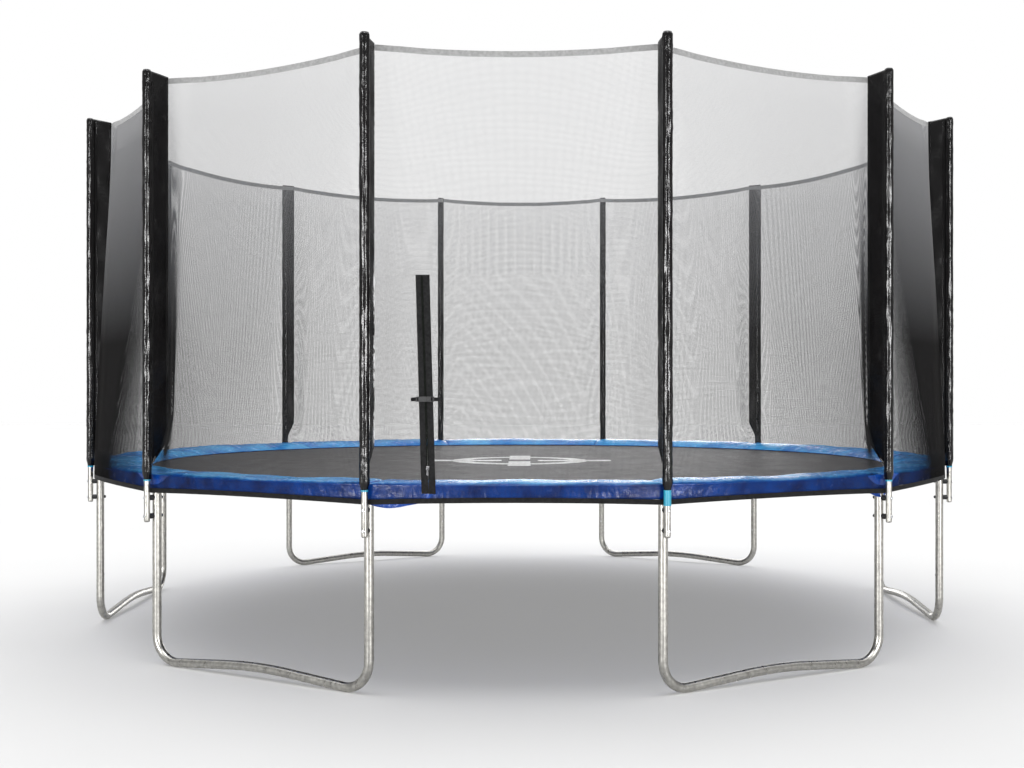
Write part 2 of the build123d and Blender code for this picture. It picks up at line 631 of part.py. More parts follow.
def bottom_hem():
    return upright_strip(lambda phi: [hem_bottom(phi), hem_bottom(phi) + BOTTOM_HEM_HEIGHT], HEM_THICKNESS)


def net_hook(phi):
    """Flat strap from the net's bottom hem in under the rail."""
    flattest = cos(radians(HALF_PITCH / (NET_STATIONS - 1)))
    start_r = NET_LOW_R * flattest - HEM_THICKNESS / 2 - SEW_GAP
    start_z = hem_bottom(phi) + HOOK_STRAP_THICKNESS
    end_r = RING_R + TUBE_R / 4
    end_z = RAIL_Z - sqrt(TUBE_R**2 - (TUBE_R / 4) ** 2) - HOOK_CLEARANCE - HOOK_STRAP_THICKNESS
    outline = [
        (start_r, 0, start_z),
        (end_r, 0, end_z),
        (end_r, 0, end_z + HOOK_STRAP_THICKNESS),
        (start_r, 0, start_z + HOOK_STRAP_THICKNESS),
    ]
    strap = extrude(make_face(Polyline(*outline, close=True)), HOOK_STRAP_WIDTH / 2, both=True)
    return strap.rotate(Axis.Z, phi)


# ---- Door in the net: all of it is set out from the straight line of its zip ----
def net_point(y, z):
    """Point of the net's middle surface at a given y, on the panel that is centred on +X."""
    x = NET_HIGH_R
    for _ in range(8):
        phi = degrees(atan2(y, x))
        x = net_radius(phi, z) * cos(radians(phi))
    return Vector(x, y, z)


ZIP_LOW = net_point(DOOR_BOTTOM_X, DOOR_BOTTOM_Z)
ZIP_HIGH = net_point(DOOR_TOP_X, DOOR_TOP_Z)
DOOR_LEAN = (ZIP_HIGH - ZIP_LOW).normalized()
DOOR_YAW = asin(DOOR_BOTTOM_X / NET_LOW_R) / 2
DOOR_OUT = Vector(cos(DOOR_YAW), sin(DOOR_YAW), 0)
DOOR_ALONG = Vector(-sin(DOOR_YAW), cos(DOOR_YAW), 0)


def zip_point(z):
    """Middle line of the zip, carried straight down below its lower end."""
    share = max(0.0, (z - DOOR_BOTTOM_Z) / (DOOR_TOP_Z - DOOR_BOTTOM_Z))
    point = ZIP_LOW + (ZIP_HIGH - ZIP_LOW) * share
    return Vector(point.X, point.Y, z)


def net_outside(along, z):
    """Distance out from the zip line's plane to just clear of the net's outer face."""
    at = zip_point(z) + DOOR_ALONG * along
    return (net_point(at.Y, z) - at).dot(DOOR_OUT) + NET_THICKNESS / 2 + SEW_GAP


def door_standoff():
    """How far outwards the tapes lie so that they clear the curved net everywhere."""
    steps = 24
    heights = [DOOR_FLAP_BOTTOM_Z + (DOOR_TOP_Z - DOOR_FLAP_BOTTOM_Z) * k / steps for k in range(steps + 1)]
    return max(net_outside(side * DOOR_WIDTH / 2, z) for z in heights for side in (-1, 0, 1))


TAPE_BACK = door_standoff()
TAPE_FRONT = TAPE_BACK + TAPE_THICKNESS
COIL_BACK = TAPE_FRONT + SEW_GAP
COIL_FRONT = COIL_BACK + COIL_HEIGHT


def door_strip(along0, along1, out0, out1, heights):
    """Flat strip beside the zip line, through the given heights."""
    outlines = []
    for z in heights:
        corners = []
        for along, out in ((along0, out0), (along1, out0), (along1, out1), (along0, out1)):
            corners.append(zip_point(z) + DOOR_ALONG * along + DOOR_OUT * out)
        outlines.append(corners)
    return stacked(outlines)


def zip_tapes():
    """Cloth tape each side of the zip, and on below it as a flap."""
    heights = [DOOR_FLAP_BOTTOM_Z, DOOR_BOTTOM_Z, DOOR_TOP_Z]
    inner, outer = TAPE_GAP / 2, DOOR_WIDTH / 2
    right = door_strip(inner, outer, TAPE_BACK, TAPE_FRONT, heights)
    left = door_strip(-outer, -inner, TAPE_BACK, TAPE_FRONT, heights)
    return [left, right]


def zip_coils():
    """The zip's two rows, standing on the edges of the tapes."""
    heights = [DOOR_BOTTOM_Z + COIL_WIDTH, DOOR_TOP_Z - COIL_WIDTH]
    inner = COIL_GAP / 2
    right = door_strip(inner, inner + COIL_WIDTH, COIL_BACK, COIL_FRONT, heights)
    left = door_strip(-inner - COIL_WIDTH, -inner, COIL_BACK, COIL_FRONT, heights)
    return [left, right]


# Frame of the slider and the buckle: x along the panel, y up the zip, z out of the net.
DOOR_NORMAL = DOOR_ALONG.cross(DOOR_LEAN).normalized()
NORMAL_SHARE = DOOR_OUT.dot(DOOR_NORMAL)
SLIDER_BACK = TAPE_BACK * NORMAL_SHARE - SLIDER_CLEARANCE
SLIDER_FRONT = COIL_FRONT * NORMAL_SHARE + SLIDER_CLEARANCE
PIN_OUT = SLIDER_FRONT + SLIDER_PLATE + PULL_BARREL_R + SLIDER_CLEARANCE


def door_plane(height):
    """Plane on the zip line, a given distance up from its lower end."""
    return Plane(origin=ZIP_LOW + DOOR_LEAN * height, x_dir=DOOR_ALONG, z_dir=DOOR_NORMAL)


def zip_slider():
    """Plate in front of the rows and plate behind the tapes, joined by a post between the rows."""
    half, side = SLIDER_LENGTH / 2, SLIDER_WIDTH / 2
    post = COIL_GAP / 2 - SLIDER_CLEARANCE
    body = block(-side, side, -half, half, SLIDER_FRONT, SLIDER_FRONT + SLIDER_PLATE)
    body += block(-side, side, -half, half, SLIDER_BACK - SLIDER_PLATE, SLIDER_BACK)
    body += block(-post, post, 0, half / 2, SLIDER_BACK, SLIDER_FRONT)
    ear_low = PULL_WIDTH / 4 + SLIDER_CLEARANCE
    ear_high = ear_low + SLIDER_PLATE
    ear_top = PIN_OUT + PULL_BARREL_R
    for sign in (-1, 1):
        low, high = sorted((sign * ear_low, sign * ear_high))
        body += block(low, high, -PULL_BARREL_R, PULL_BARREL_R, SLIDER_FRONT, ear_top)
    body += Pos(0, 0, PIN_OUT) * Rot(0, 90, 0) * Cylinder(PIN_R, 2 * ear_high)
    return door_plane(SLIDER_REST).location * body


def zip_pull():
    """Tab that hangs from the slider's pin, with a finger hole."""
    barrel = Pos(0, 0, PIN_OUT) * Rot(0, 90, 0) * Cylinder(PULL_BARREL_R, PULL_WIDTH / 2)
    low = PIN_OUT - PULL_THICKNESS / 2
    neck = block(-PULL_WIDTH / 4, PULL_WIDTH / 4, -SLIDER_LENGTH / 2, 0, low, low + PULL_THICKNESS)
    tab = block(-PULL_WIDTH / 2, PULL_WIDTH / 2, -PULL_LENGTH, -SLIDER_LENGTH / 2, low, low + PULL_THICKNESS)
    pull = barrel + neck + fillet(tab.edges().filter_by(Axis.Z), PULL_THICKNESS)
    pull -= Pos(0, PULL_WIDTH / 2 - PULL_LENGTH, PIN_OUT) * Cylinder(PULL_WIDTH / 4, PULL_WIDTH)
    pull -= Pos(0, 0, PIN_OUT) * Rot(0, 90, 0) * Cylinder(PIN_R + PIN_FIT, PULL_WIDTH)
    return door_plane(SLIDER_REST).location * pull


def buckle_height():
    return (BUCKLE_Z - DOOR_BOTTOM_Z) / DOOR_LEAN.Z


BUCKLE_FRONT = BUCKLE_STANDOFF + BUCKLE_THICKNESS
BUCKLE_MIDDLE = BUCKLE_STANDOFF + BUCKLE_THICKNESS / 2
SOCKET_MOUTH = (SOCKET_LENGTH - PLUG_LENGTH) / 2


def prong_rows():
    """Low and high edge of each prong, along the zip."""
    half = BUCKLE_HEIGHT / 2
    return [(-half + 3, -half + 6), (-half / 4, half / 4), (half - 6, half - 3)]


def buckle_plug():
    """Plug with three prongs and a bar for its strap."""
    half = BUCKLE_HEIGHT / 2
    start = SOCKET_MOUTH + PRONG_CLEARANCE
    body = block(start, start + PLUG_LENGTH, -half, half, BUCKLE_STANDOFF, BUCKLE_FRONT)
    body = fillet(body.edges().filter_by(Axis.Z), BUCKLE_THICKNESS / 4)
    slot_start = start + PLUG_LENGTH * 0.6
    body -= block(slot_start, start + PLUG_LENGTH * 0.8, -half + 3, half - 3, 0, 2 * BUCKLE_FRONT)
    depth = BUCKLE_THICKNESS / 4
    for low, high in prong_rows():
        middle = BUCKLE_MIDDLE
        body += block(start - PRONG_LENGTH, start + 1, low, high, middle - depth, middle + depth)
    return door_plane(buckle_height()).location * body


def buckle_socket():
    """Hollow half of the buckle, open towards the plug, with a bar for its strap."""
    half = BUCKLE_HEIGHT / 2
    start = SOCKET_MOUTH - SOCKET_LENGTH
    body = block(start, SOCKET_MOUTH, -half, half, BUCKLE_STANDOFF, BUCKLE_FRONT)
    body = fillet(body.edges().filter_by(Axis.Z), BUCKLE_THICKNESS / 4)
    depth = BUCKLE_THICKNESS / 4 + PRONG_CLEARANCE
    room = SOCKET_MOUTH - PRONG_LENGTH - 2 * PRONG_CLEARANCE
    body -= block(room, SOCKET_MOUTH + 1, -half + 2, half - 2, BUCKLE_MIDDLE - depth, BUCKLE_MIDDLE + depth)
    body -= block(start + 4, start + 10, -half + 3, half - 3, 0, 2 * BUCKLE_FRONT)
    return door_plane(buckle_height()).location * body


def door_straps():
    """Webbing from the net up to each half of the buckle."""
    half = BUCKLE_HEIGHT / 2 - 3
    left_edge = SOCKET_MOUTH - SOCKET_LENGTH
    right_edge = SOCKET_MOUTH + PRONG_CLEARANCE + PLUG_LENGTH
    tuck = BUCKLE_STANDOFF - HOOK_CLEARANCE
    straps = []
    for edge, sign in ((left_edge, -1), (right_edge, 1)):
        base = net_outside(edge + sign * STRAP_RUN, BUCKLE_Z) * NORMAL_SHARE
        outline = [
            (edge + sign * STRAP_RUN, base),
            (edge + sign * STRAP_RUN, base + STRAP_THICKNESS),
            (edge, tuck),
            (edge - sign * STRAP_RUN / 2, tuck),
            (edge - sign * STRAP_RUN / 2, tuck - STRAP_THICKNESS),
            (edge, tuck - STRAP_THICKNESS),
        ]
        face = make_face(Polyline(*[(x, 0, z) for x, z in outline], close=True))
        straps.append(door_plane(buckle_height()).location * extrude(face, half, both=True))
    return straps


def door_panel():
    """The net panel with the door's slit."""
    slit = door_strip(-DOOR_SLIT / 2, DOOR_SLIT / 2, -TUBE_OD, TUBE_OD, [0, DOOR_BOTTOM_Z, DOOR_TOP_Z])
    return net_panel() - slit


# ---- Write the steel frame ----
for number, theta in enumerate(LEG_THETAS, 1):
    if number == 1:
        base = leg_base()
    write(f"leg_base_{number}", [turned(base, theta)])
write("leg_uprights", ring_of(leg_upright(), POLE_THETAS))
write("leg_screws", ring_of(leg_screw(), POLE_THETAS))
rail = top_rail()
for number, theta in enumerate(POLE_THETAS, 1):
    write(f"top_rail_{number}", [turned(rail, theta - HALF_PITCH)])
write("rail_sockets", ring_of(rail_socket(), POLE_THETAS))

# ---- Write the enclosure poles and what is on them ----
pole = enclosure_pole()
for number, theta in enumerate(POLE_THETAS, 1):
    write(f"enclosure_pole_{number}", [turned(tube, theta) for tube in pole])
write("pole_end_caps", ring_of(pole_end_cap(), POLE_THETAS))
write("pole_top_caps", ring_of(pole_top_cap(), POLE_THETAS))
for node, maker in (("pole_spacers", pole_spacer), ("pole_bolts", pole_bolt), ("pole_nuts", pole_nut)):
    pieces = []
    for height in BOLT_HEIGHTS:
        pieces += ring_of(maker(height), POLE_THETAS)
    write(node, pieces)
write("pole_foam", ring_of(pole_foam(), POLE_THETAS))
write("pole_sleeves", ring_of(pole_sleeve(), POLE_THETAS))
short_thetas = [theta for theta in POLE_THETAS if theta != LONG_CUFF_THETA]
long_cuff = turned(sleeve_cuff(LONG_CUFF_HEIGHT), LONG_CUFF_THETA)
write("sleeve_cuffs", [*ring_of(sleeve_cuff(CUFF_HEIGHT), short_thetas), long_cuff])

# ---- Write the mat, its springs and the pad over them ----
spring_thetas = [HALF_PITCH + 360 / SPRING_COUNT * k for k in range(SPRING_COUNT)]
write("springs", ring_of(spring(), spring_thetas))
write("v_rings", ring_of(v_ring(), spring_thetas))
write("jumping_mat", [jumping_mat()])
write("mat_webbing", [*mat_webbing_rings(), *ring_of(mat_tab(), spring_thetas)])
panel_thetas = [theta - HALF_PITCH for theta in POLE_THETAS]
write("safety_pad", ring_of(pad_section(), panel_thetas))
write("pad_skirt", ring_of(pad_skirt(), panel_thetas))
tie_angle = 360 / SPRING_COUNT * 2.5
tie_thetas = [theta + side * tie_angle for theta in POLE_THETAS for side in (-1, 1)]
write("pad_ties", ring_of(pad_tie(), tie_thetas))

# ---- Write the net and its door ----
panel = net_panel()
plain_thetas = [theta for theta in panel_thetas if theta != 0]
write("safety_net", [turned(door_panel(), 0), *ring_of(panel, plain_thetas)])
write("net_top_hem", ring_of(top_hem(), panel_thetas))
write("net_bottom_hem", ring_of(bottom_hem(), panel_thetas))
hook_phi = HALF_PITCH * 0.6
hook_pair = [net_hook(side * hook_phi) for side in (-1, 1)]
write("net_hooks", [turned(hook, theta) for theta in panel_thetas for hook in hook_pair])
write("zip_tapes", [turned(tape, 0) for tape in zip_tapes()])
write("zip_coils", [turned(coil, 0) for coil in zip_coils()])
write("zip_slider", [turned(zip_slider(), 0)])
write("zip_pull", [turned(zip_pull(), 0)])
write("buckle_socket", [turned(buckle_socket(), 0)])
write("buckle_plug", [turned(buckle_plug(), 0)])
write("door_straps", [turned(strap, 0) for strap in door_straps()])

# ---- Say where the moving pieces turn and slide ----
pin = (door_plane(SLIDER_REST).location * Pos(0, 0, PIN_OUT)).position.rotate(Axis.Z, -90)
travel = (DOOR_TOP_Z - DOOR_BOTTOM_Z) / DOOR_LEAN.Z - 2 * SLIDER_REST
print("zip direction", DOOR_LEAN.rotate(Axis.Z, -90), "travel", travel)
print("pull pin", pin, "axis", DOOR_ALONG.rotate(Axis.Z, -90))
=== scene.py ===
# %% [markdown]
# # A round garden trampoline
# The steel ring, its legs, the poles and the small fittings come from the CAD frame, already in
# their places. What a CAD solid can't show is the cloth: an open net, a crowned pad, loose sleeves
# and a woven mat. This lesson makes those as surfaces worked out with numpy, and gives every part
# its own procedural finish. Lengths are metres, +Z is up, and the door is on the -Y side.

# %% Load the frame
import math

import bpy
import numpy as np
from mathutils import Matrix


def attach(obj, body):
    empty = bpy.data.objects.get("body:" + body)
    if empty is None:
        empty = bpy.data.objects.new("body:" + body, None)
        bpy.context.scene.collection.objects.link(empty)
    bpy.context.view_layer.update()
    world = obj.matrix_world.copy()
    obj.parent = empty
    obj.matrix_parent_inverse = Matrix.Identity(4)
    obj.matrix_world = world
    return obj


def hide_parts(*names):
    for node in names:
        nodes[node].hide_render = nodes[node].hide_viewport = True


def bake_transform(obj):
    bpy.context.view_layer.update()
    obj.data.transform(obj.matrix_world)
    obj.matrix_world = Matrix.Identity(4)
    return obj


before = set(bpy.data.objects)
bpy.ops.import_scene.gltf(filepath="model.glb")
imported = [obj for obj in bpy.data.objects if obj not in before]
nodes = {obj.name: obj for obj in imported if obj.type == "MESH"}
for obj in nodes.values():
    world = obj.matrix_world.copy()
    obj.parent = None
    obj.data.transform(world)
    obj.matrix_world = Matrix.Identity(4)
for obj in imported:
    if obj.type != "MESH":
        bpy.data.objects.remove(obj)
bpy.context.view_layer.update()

# %% [markdown]
# ## Camera
# The object is seen from a standing viewer's chest height, level, from almost straight in front.
# A lens a little longer than normal keeps the round ring from bulging towards the viewer.

# %% Camera
EYE_DISTANCE = 7.888
EYE_HEIGHT = 1.306
EYE_TURN = 0.0068  # radians round the trampoline's axis
camera = bpy.data.objects.new("camera", bpy.data.cameras.new("camera"))
camera.data.lens = 45.83
camera.data.sensor_width = 36
camera.data.shift_x = -0.0075
camera.data.shift_y = 0.0049
camera.location = (
    EYE_DISTANCE * math.sin(EYE_TURN), -EYE_DISTANCE * math.cos(EYE_TURN), EYE_HEIGHT)
camera.rotation_euler = (math.pi / 2, 0, EYE_TURN)
bpy.context.scene.collection.objects.link(camera)
bpy.context.scene.camera = camera
print("camera at", [round(v, 3) for v in camera.location])

# %% [markdown]
# ## Light
# A product of this size looks best in a white room: a broad light overhead, a white floor, and tall
# lights beside the viewer that draw bright lines down every glossy pole. A low window behind it puts
# a pale sheen along the pad and the mat. One wide sun makes the soft shadow under the mat, and a
# second one without shadows keeps that shadow from going black, as light through the woven mat does.
# The sky is white to the eye but a weaker grey as a light, so that black vinyl stays black.


# %% Light
def add_light(name, kind, energy, location=(0, 0, 5), aim=(0, 0, 0), **settings):
    """A lamp that points from its location to aim and isn't seen itself."""
    lamp = bpy.data.objects.new(name, bpy.data.lights.new(name, kind))
    lamp.data.energy = energy
    for key, value in settings.items():
        setattr(lamp.data, key, value)
    direction = np.subtract(aim, location)
    flat = math.hypot(direction[0], direction[1])
    lamp.location = location
    lamp.rotation_euler = (
        math.atan2(flat, -direction[2]), 0, math.atan2(direction[1], direction[0]) - math.pi / 2)
    lamp.visible_camera = False
    bpy.context.scene.collection.objects.link(lamp)
    return lamp


add_light("overhead", "SUN", 2.25, location=(0, 3.2, 9), angle=math.radians(90))
add_light("fill", "SUN", 1.2, location=(0, -3, 9), angle=math.radians(20), use_shadow=False)
for side in (-1, 1):
    strip = add_light(
        f"strip_{'left' if side < 0 else 'right'}", "AREA", 620, shape="RECTANGLE", size=1.3,
        size_y=3.4, location=(side * 4.6, -8.6, 2.2), aim=(0, 0, 1.6))
    strip.visible_diffuse = False
window = add_light("window", "AREA", 190, shape="RECTANGLE", size=5, size_y=2.6,
                   location=(1.2, 9.5, 1.7), aim=(0, 0, 0.9))
window.visible_diffuse = False

world = bpy.data.worlds.new("white_room")
bpy.context.scene.world = world
world.use_nodes = True
sky = world.node_tree
sky_light = sky.nodes["Background"]
sky_seen = sky.nodes.new("ShaderNodeBackground")
for background, strength in ((sky_light, 0.42), (sky_seen, 1.0)):
    background.inputs["Color"].default_value = (1, 1, 1, 1)
    background.inputs["Strength"].default_value = strength
sky_mix = sky.nodes.new("ShaderNodeMixShader")
sky_path = sky.nodes.new("ShaderNodeLightPath")
sky.links.new(sky_path.outputs["Is Camera Ray"], sky_mix.inputs[0])
sky.links.new(sky_light.outputs[0], sky_mix.inputs[1])
sky.links.new(sky_seen.outputs[0], sky_mix.inputs[2])
sky.links.new(sky_mix.outputs[0], sky.nodes["World Output"].inputs["Surface"])
bpy.context.scene.view_settings.view_transform = "Standard"

# %% [markdown]
# ## Helpers for grids
# Every cloth here is a grid of points: rows along it and columns round it. The faces of a grid
# follow from its two counts alone, so they are worked out once as index arrays, and numpy puts
# the points where a formula says.


# %% Helpers for grids
def grid_faces(rows, columns, round_columns=False):
    """Quads between neighbours of a rows by columns grid that is stored row by row."""
    row = np.arange(rows - 1)[:, None]
    column = np.arange(columns if round_columns else columns - 1)[None, :]
    after = (column + 1) % columns
    quads = (row * columns + column, row * columns + after,
             (row + 1) * columns + after, (row + 1) * columns + column)
    return np.stack(np.broadcast_arrays(*quads), -1).reshape(-1, 4)


def ladder(start, count):
    """Quads that close a ring of points: rung i joins point i to its partner count - 1 - i."""
    rung = np.arange(count // 2 - 1)
    return start + np.stack((rung, rung + 1, count - 2 - rung, count - 1 - rung), -1)


def tube_of_rings(rings):
    """Points and faces of a closed tube: rings has shape (rows, columns, 3), both ends closed."""
    rows, columns = rings.shape[:2]
    faces = np.concatenate((
        grid_faces(rows, columns, round_columns=True),
        ladder(0, columns)[:, ::-1], ladder((rows - 1) * columns, columns)))
    return rings.reshape(-1, 3), faces


def merged(parts):
    """Several (points, faces) pairs as one."""
    starts = np.cumsum([0] + [len(points) for points, _ in parts[:-1]])
    return (np.concatenate([points for points, _ in parts]),
            np.concatenate([faces + start for (_, faces), start in zip(parts, starts)]))


def facing_out(points, faces):
    """The faces, turned over if the volume that they enclose comes out negative."""
    a, b, c, d = (points[faces[:, k]] - points.mean(0) for k in range(4))
    volume = np.einsum("ij,ij", a, np.cross(b, c)) + np.einsum("ij,ij", a, np.cross(c, d))
    return faces if volume > 0 else faces[:, ::-1]


def new_piece(name, points, faces, finish, body="root", smooth=True, caps=None):
    """A mesh object in its place, with its finish, riding on a body of the frame. Faces are quads,
    and caps are triangles that close them."""
    caps = np.zeros((0, 3), int) if caps is None else caps
    outward = facing_out(points, faces)
    if outward is not faces:
        caps = caps[:, ::-1]
    corners = np.concatenate((outward.ravel(), caps.ravel()))
    starts = np.concatenate((np.arange(len(faces)) * 4, 4 * len(faces) + np.arange(len(caps)) * 3))
    mesh = bpy.data.meshes.new(name)
    mesh.vertices.add(len(points))
    mesh.vertices.foreach_set("co", np.asarray(points, np.float32).ravel())
    mesh.loops.add(len(corners))
    mesh.loops.foreach_set("vertex_index", corners.astype(np.int32))
    mesh.polygons.add(len(starts))
    mesh.polygons.foreach_set("loop_start", starts.astype(np.int32))
    mesh.polygons.foreach_set("use_smooth", np.full(len(starts), smooth))
    mesh.update(calc_edges=True)
    mesh.materials.append(finish)
    piece = bpy.data.objects.new(name, mesh)
    bpy.context.scene.collection.objects.link(piece)
    if body:
        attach(piece, body)
    return piece


def polar(radius, degrees_round, height):
    """Points from a radius, an angle from the door side (-Y) towards +X, and a height."""
    angle = np.radians(degrees_round)
    parts = np.broadcast_arrays(radius * np.sin(angle), -radius * np.cos(angle), height)
    return np.stack(parts, -1)


print("a 3 by 4 grid has", len(grid_faces(3, 4)), "faces")

floor_points = np.array([(-40, -40, 0), (40, -40, 0), (40, 40, 0), (-40, 40, 0)], float)
floor_mesh = bpy.data.meshes.new("floor")
floor_mesh.from_pydata(floor_points.tolist(), [], [(0, 1, 2, 3)])
floor = bpy.data.objects.new("floor", floor_mesh)
bpy.context.scene.collection.objects.link(floor)

# %% [markdown]
# ## Helpers for finishes
# A finish is a Principled shader with a few texture nodes in front of it. Small functions add a
# node, or a whole bump, so that each finish below reads as a short recipe. Patterns read Object
# coordinates: every piece sits at the origin, so they are simply places on the trampoline.


# %% Helpers for finishes
class Recipe:
    """One material under construction."""

    def __init__(self, name, **sockets):
        self.material = bpy.data.materials.new(name)
        self.material.use_nodes = True
        self.tree = self.material.node_tree
        self.shader = self.tree.nodes["Principled BSDF"]
        self.place = self.add("TexCoord").outputs["Object"]
        for socket, value in sockets.items():
            self.shader.inputs[socket.replace("_", " ")].default_value = value

    def add(self, kind, **inputs):
        """A node whose inputs get a value each, or a link where the value is a socket."""
        node = self.tree.nodes.new("ShaderNode" + kind)
        for name, value in inputs.items():
            self.feed(node.inputs[name.replace("_", " ")], value)
        return node

    def feed(self, socket, value):
        if isinstance(value, bpy.types.NodeSocket):
            self.tree.links.new(value, socket)
        else:
            socket.default_value = value

    def noise(self, scale, detail=2.0, stretch=(1, 1, 1)):
        """Soft random spots, scale of them in a metre, drawn out where stretch is small."""
        mapped = self.add("Mapping", Vector=self.place, Scale=stretch)
        node = self.add("TexNoise", Vector=mapped.outputs[0], Scale=scale, Detail=detail)
        return node.outputs["Fac"]

    def threads(self, per_metre, direction):
        """Even ridges across one direction, as threads that lie side by side."""
        node = self.add("TexWave", Vector=self.place, Scale=per_metre / 20 * math.tau)
        node.bands_direction = direction
        return node.outputs["Fac"]

    def between(self, factor, low, high, start=0.3, end=0.7):
        """A colour that goes from low to high while the factor goes from start to end."""
        ramp = self.add("ValToRGB", Fac=factor)
        ramp.color_ramp.elements[0].position = start
        ramp.color_ramp.elements[1].position = end
        ramp.color_ramp.elements[0].color = (*low, 1)
        ramp.color_ramp.elements[1].color = (*high, 1)
        return ramp.outputs[0]

    def range(self, factor, low, high, start=0.3, end=0.7):
        """A number that goes from low to high while the factor goes from start to end."""
        limits = {"From_Min": start, "From_Max": end, "To_Min": low, "To_Max": high}
        return self.add("MapRange", Value=factor, **limits).outputs[0]

    def product(self, first, second):
        """Two factors multiplied."""
        node = self.add("Math")
        node.operation = "MULTIPLY"
        self.feed(node.inputs[0], first)
        self.feed(node.inputs[1], second)
        return node.outputs[0]

    def colour(self, value):
        self.feed(self.shader.inputs["Base Color"], value)

    def roughness(self, value):
        self.feed(self.shader.inputs["Roughness"], value)

    def bump(self, *layers):
        """Relief from (height, depth in metres) layers, one over the other."""
        normal = None
        for height, depth in layers:
            node = self.add("Bump", Height=height, Distance=depth)
            if normal:
                self.feed(node.inputs["Normal"], normal)
            normal = node.outputs[0]
        self.feed(self.shader.inputs["Normal"], normal)


def plain_floor():
    recipe = Recipe("white_floor", Roughness=0.9, Specular_IOR_Level=0.1)
    recipe.colour(recipe.between(recipe.noise(0.5), (0.69, 0.69, 0.69), (0.71, 0.71, 0.71)))
    return recipe.material


floor.data.materials.append(plain_floor())
print("floor", floor.dimensions.x, "m wide")

# %% [markdown]
# ## Metal finishes
# The tubes are galvanised and then only wiped, so they are bright but never mirror-like: zinc
# flakes of a centimetre or so differ in tone, and long faint drawing marks run down the tube.
# Screws and bolts are zinc plated, which is smoother and a little bluer.


# %% Metal finishes
ZINC_FLAKES = 55  # in a metre


def galvanised(name, tone):
    """Satin zinc: flakes of slightly different grey, and fine scratches in the roughness."""
    recipe = Recipe(name, Metallic=1.0)
    flakes = recipe.add("TexVoronoi", Vector=recipe.place, Scale=ZINC_FLAKES).outputs["Distance"]
    light, dark = tone, tuple(v * 0.72 for v in tone)
    recipe.colour(recipe.between(flakes, light, dark, 0.15, 0.85))
    recipe.roughness(recipe.range(recipe.noise(60, 6, (1, 1, 0.08)), 0.24, 0.44))
    recipe.bump((recipe.noise(220, 3), 0.0002))
    return recipe.material


def plated(name, tone):
    """Bright zinc plate with a slight cloudiness."""
    recipe = Recipe(name, Metallic=1.0)
    recipe.colour(recipe.between(recipe.noise(90), tuple(v * 0.8 for v in tone), tone))
    recipe.roughness(recipe.range(recipe.noise(40, 4), 0.18, 0.36))
    recipe.bump((recipe.noise(600), 0.00008))
    return recipe.material


FINISH = {
    "galvanised_tube": galvanised("galvanised_tube_finish", (0.46, 0.45, 0.42)),
    "zinc_steel": plated("zinc_plate_finish", (0.62, 0.63, 0.65)),
    "zip_metal": plated("zip_metal_finish", (0.30, 0.30, 0.31)),
}
print("metal finishes:", sorted(FINISH))

# %% [markdown]
# ## Plastic and cloth finishes
# Vinyl is a smooth skin on woven cloth, so it has a fine grain, a clear gloss and faint patches of
# darker tone. Webbing, binding and the net's yarn are matt, with threads that show close up. The
# mat is polypropylene cloth, black, with a dull shine along the threads that makes it look grey
# when it is seen from low down.


# %% Plastic and cloth finishes
VINYL_PEBBLES = 420  # in a metre
PEBBLE_DEPTH = 0.00018


def vinyl(name, low, high, gloss, shine=0.5):
    """Coated cloth: two tones in soft patches, a pebbled grain and a glossy skin."""
    recipe = Recipe(name, Specular_IOR_Level=shine)
    recipe.colour(recipe.between(recipe.noise(7, 5), low, high))
    recipe.roughness(recipe.range(recipe.noise(22, 4), gloss - 0.06, gloss + 0.08))
    pebbles = recipe.add("TexVoronoi", Vector=recipe.place, Scale=VINYL_PEBBLES).outputs["Distance"]
    recipe.bump((recipe.noise(38, 4), 0.0012), (pebbles, PEBBLE_DEPTH))
    return recipe.material


def pad_vinyl():
    """The pad's vinyl: navy on its sides, and painted light on top: a brighter sky blue where the
    surface faces up.
    """
    recipe = Recipe("blue_vinyl_finish", Specular_IOR_Level=0.33)
    facing = recipe.add("NewGeometry").outputs["Normal"]
    upward = recipe.add("SeparateXYZ", Vector=facing).outputs["Z"]
    side = recipe.between(recipe.noise(9, 5), (0.0005, 0.028, 0.22), (0.001, 0.12, 0.72))
    # Painted light: the top colour is a lit copy of the navy, mixed in by how far the surface faces
    # up.
    top = recipe.between(recipe.noise(5, 5), (0.01, 0.20, 0.66), (0.08, 0.46, 0.92), 0.35, 0.65)
    painted_light_mix = recipe.add("Mix", Factor=recipe.between(upward, (0, 0, 0), (1, 1, 1), 0.55, 0.93))
    painted_light_mix.data_type = "RGBA"
    recipe.feed(painted_light_mix.inputs[6], side)  # sockets 6 and 7 are A and B when the node mixes colours
    recipe.feed(painted_light_mix.inputs[7], top)
    recipe.colour(painted_light_mix.outputs[2])
    recipe.roughness(recipe.range(recipe.noise(22, 4), 0.16, 0.3))
    pebbles = recipe.add("TexVoronoi", Vector=recipe.place, Scale=VINYL_PEBBLES).outputs["Distance"]
    recipe.bump((recipe.noise(26, 5, (1, 1, 0.6)), 0.006), (pebbles, PEBBLE_DEPTH))
    return recipe.material


def cloth(name, low, high, per_metre, shine=0.3, sheen=0.2):
    """Plain weave: threads one way across threads the other way, under soft spots of tone."""
    recipe = Recipe(name, Specular_IOR_Level=shine, Sheen_Weight=sheen, Sheen_Roughness=0.4)
    along = recipe.threads(per_metre, "Z")
    across = recipe.threads(per_metre, "DIAGONAL")
    recipe.colour(recipe.between(recipe.noise(per_metre / 6, 3), low, high))
    recipe.roughness(recipe.range(recipe.noise(30), 0.67, 0.83))
    recipe.bump((recipe.product(along, across), 0.0004))
    return recipe.material


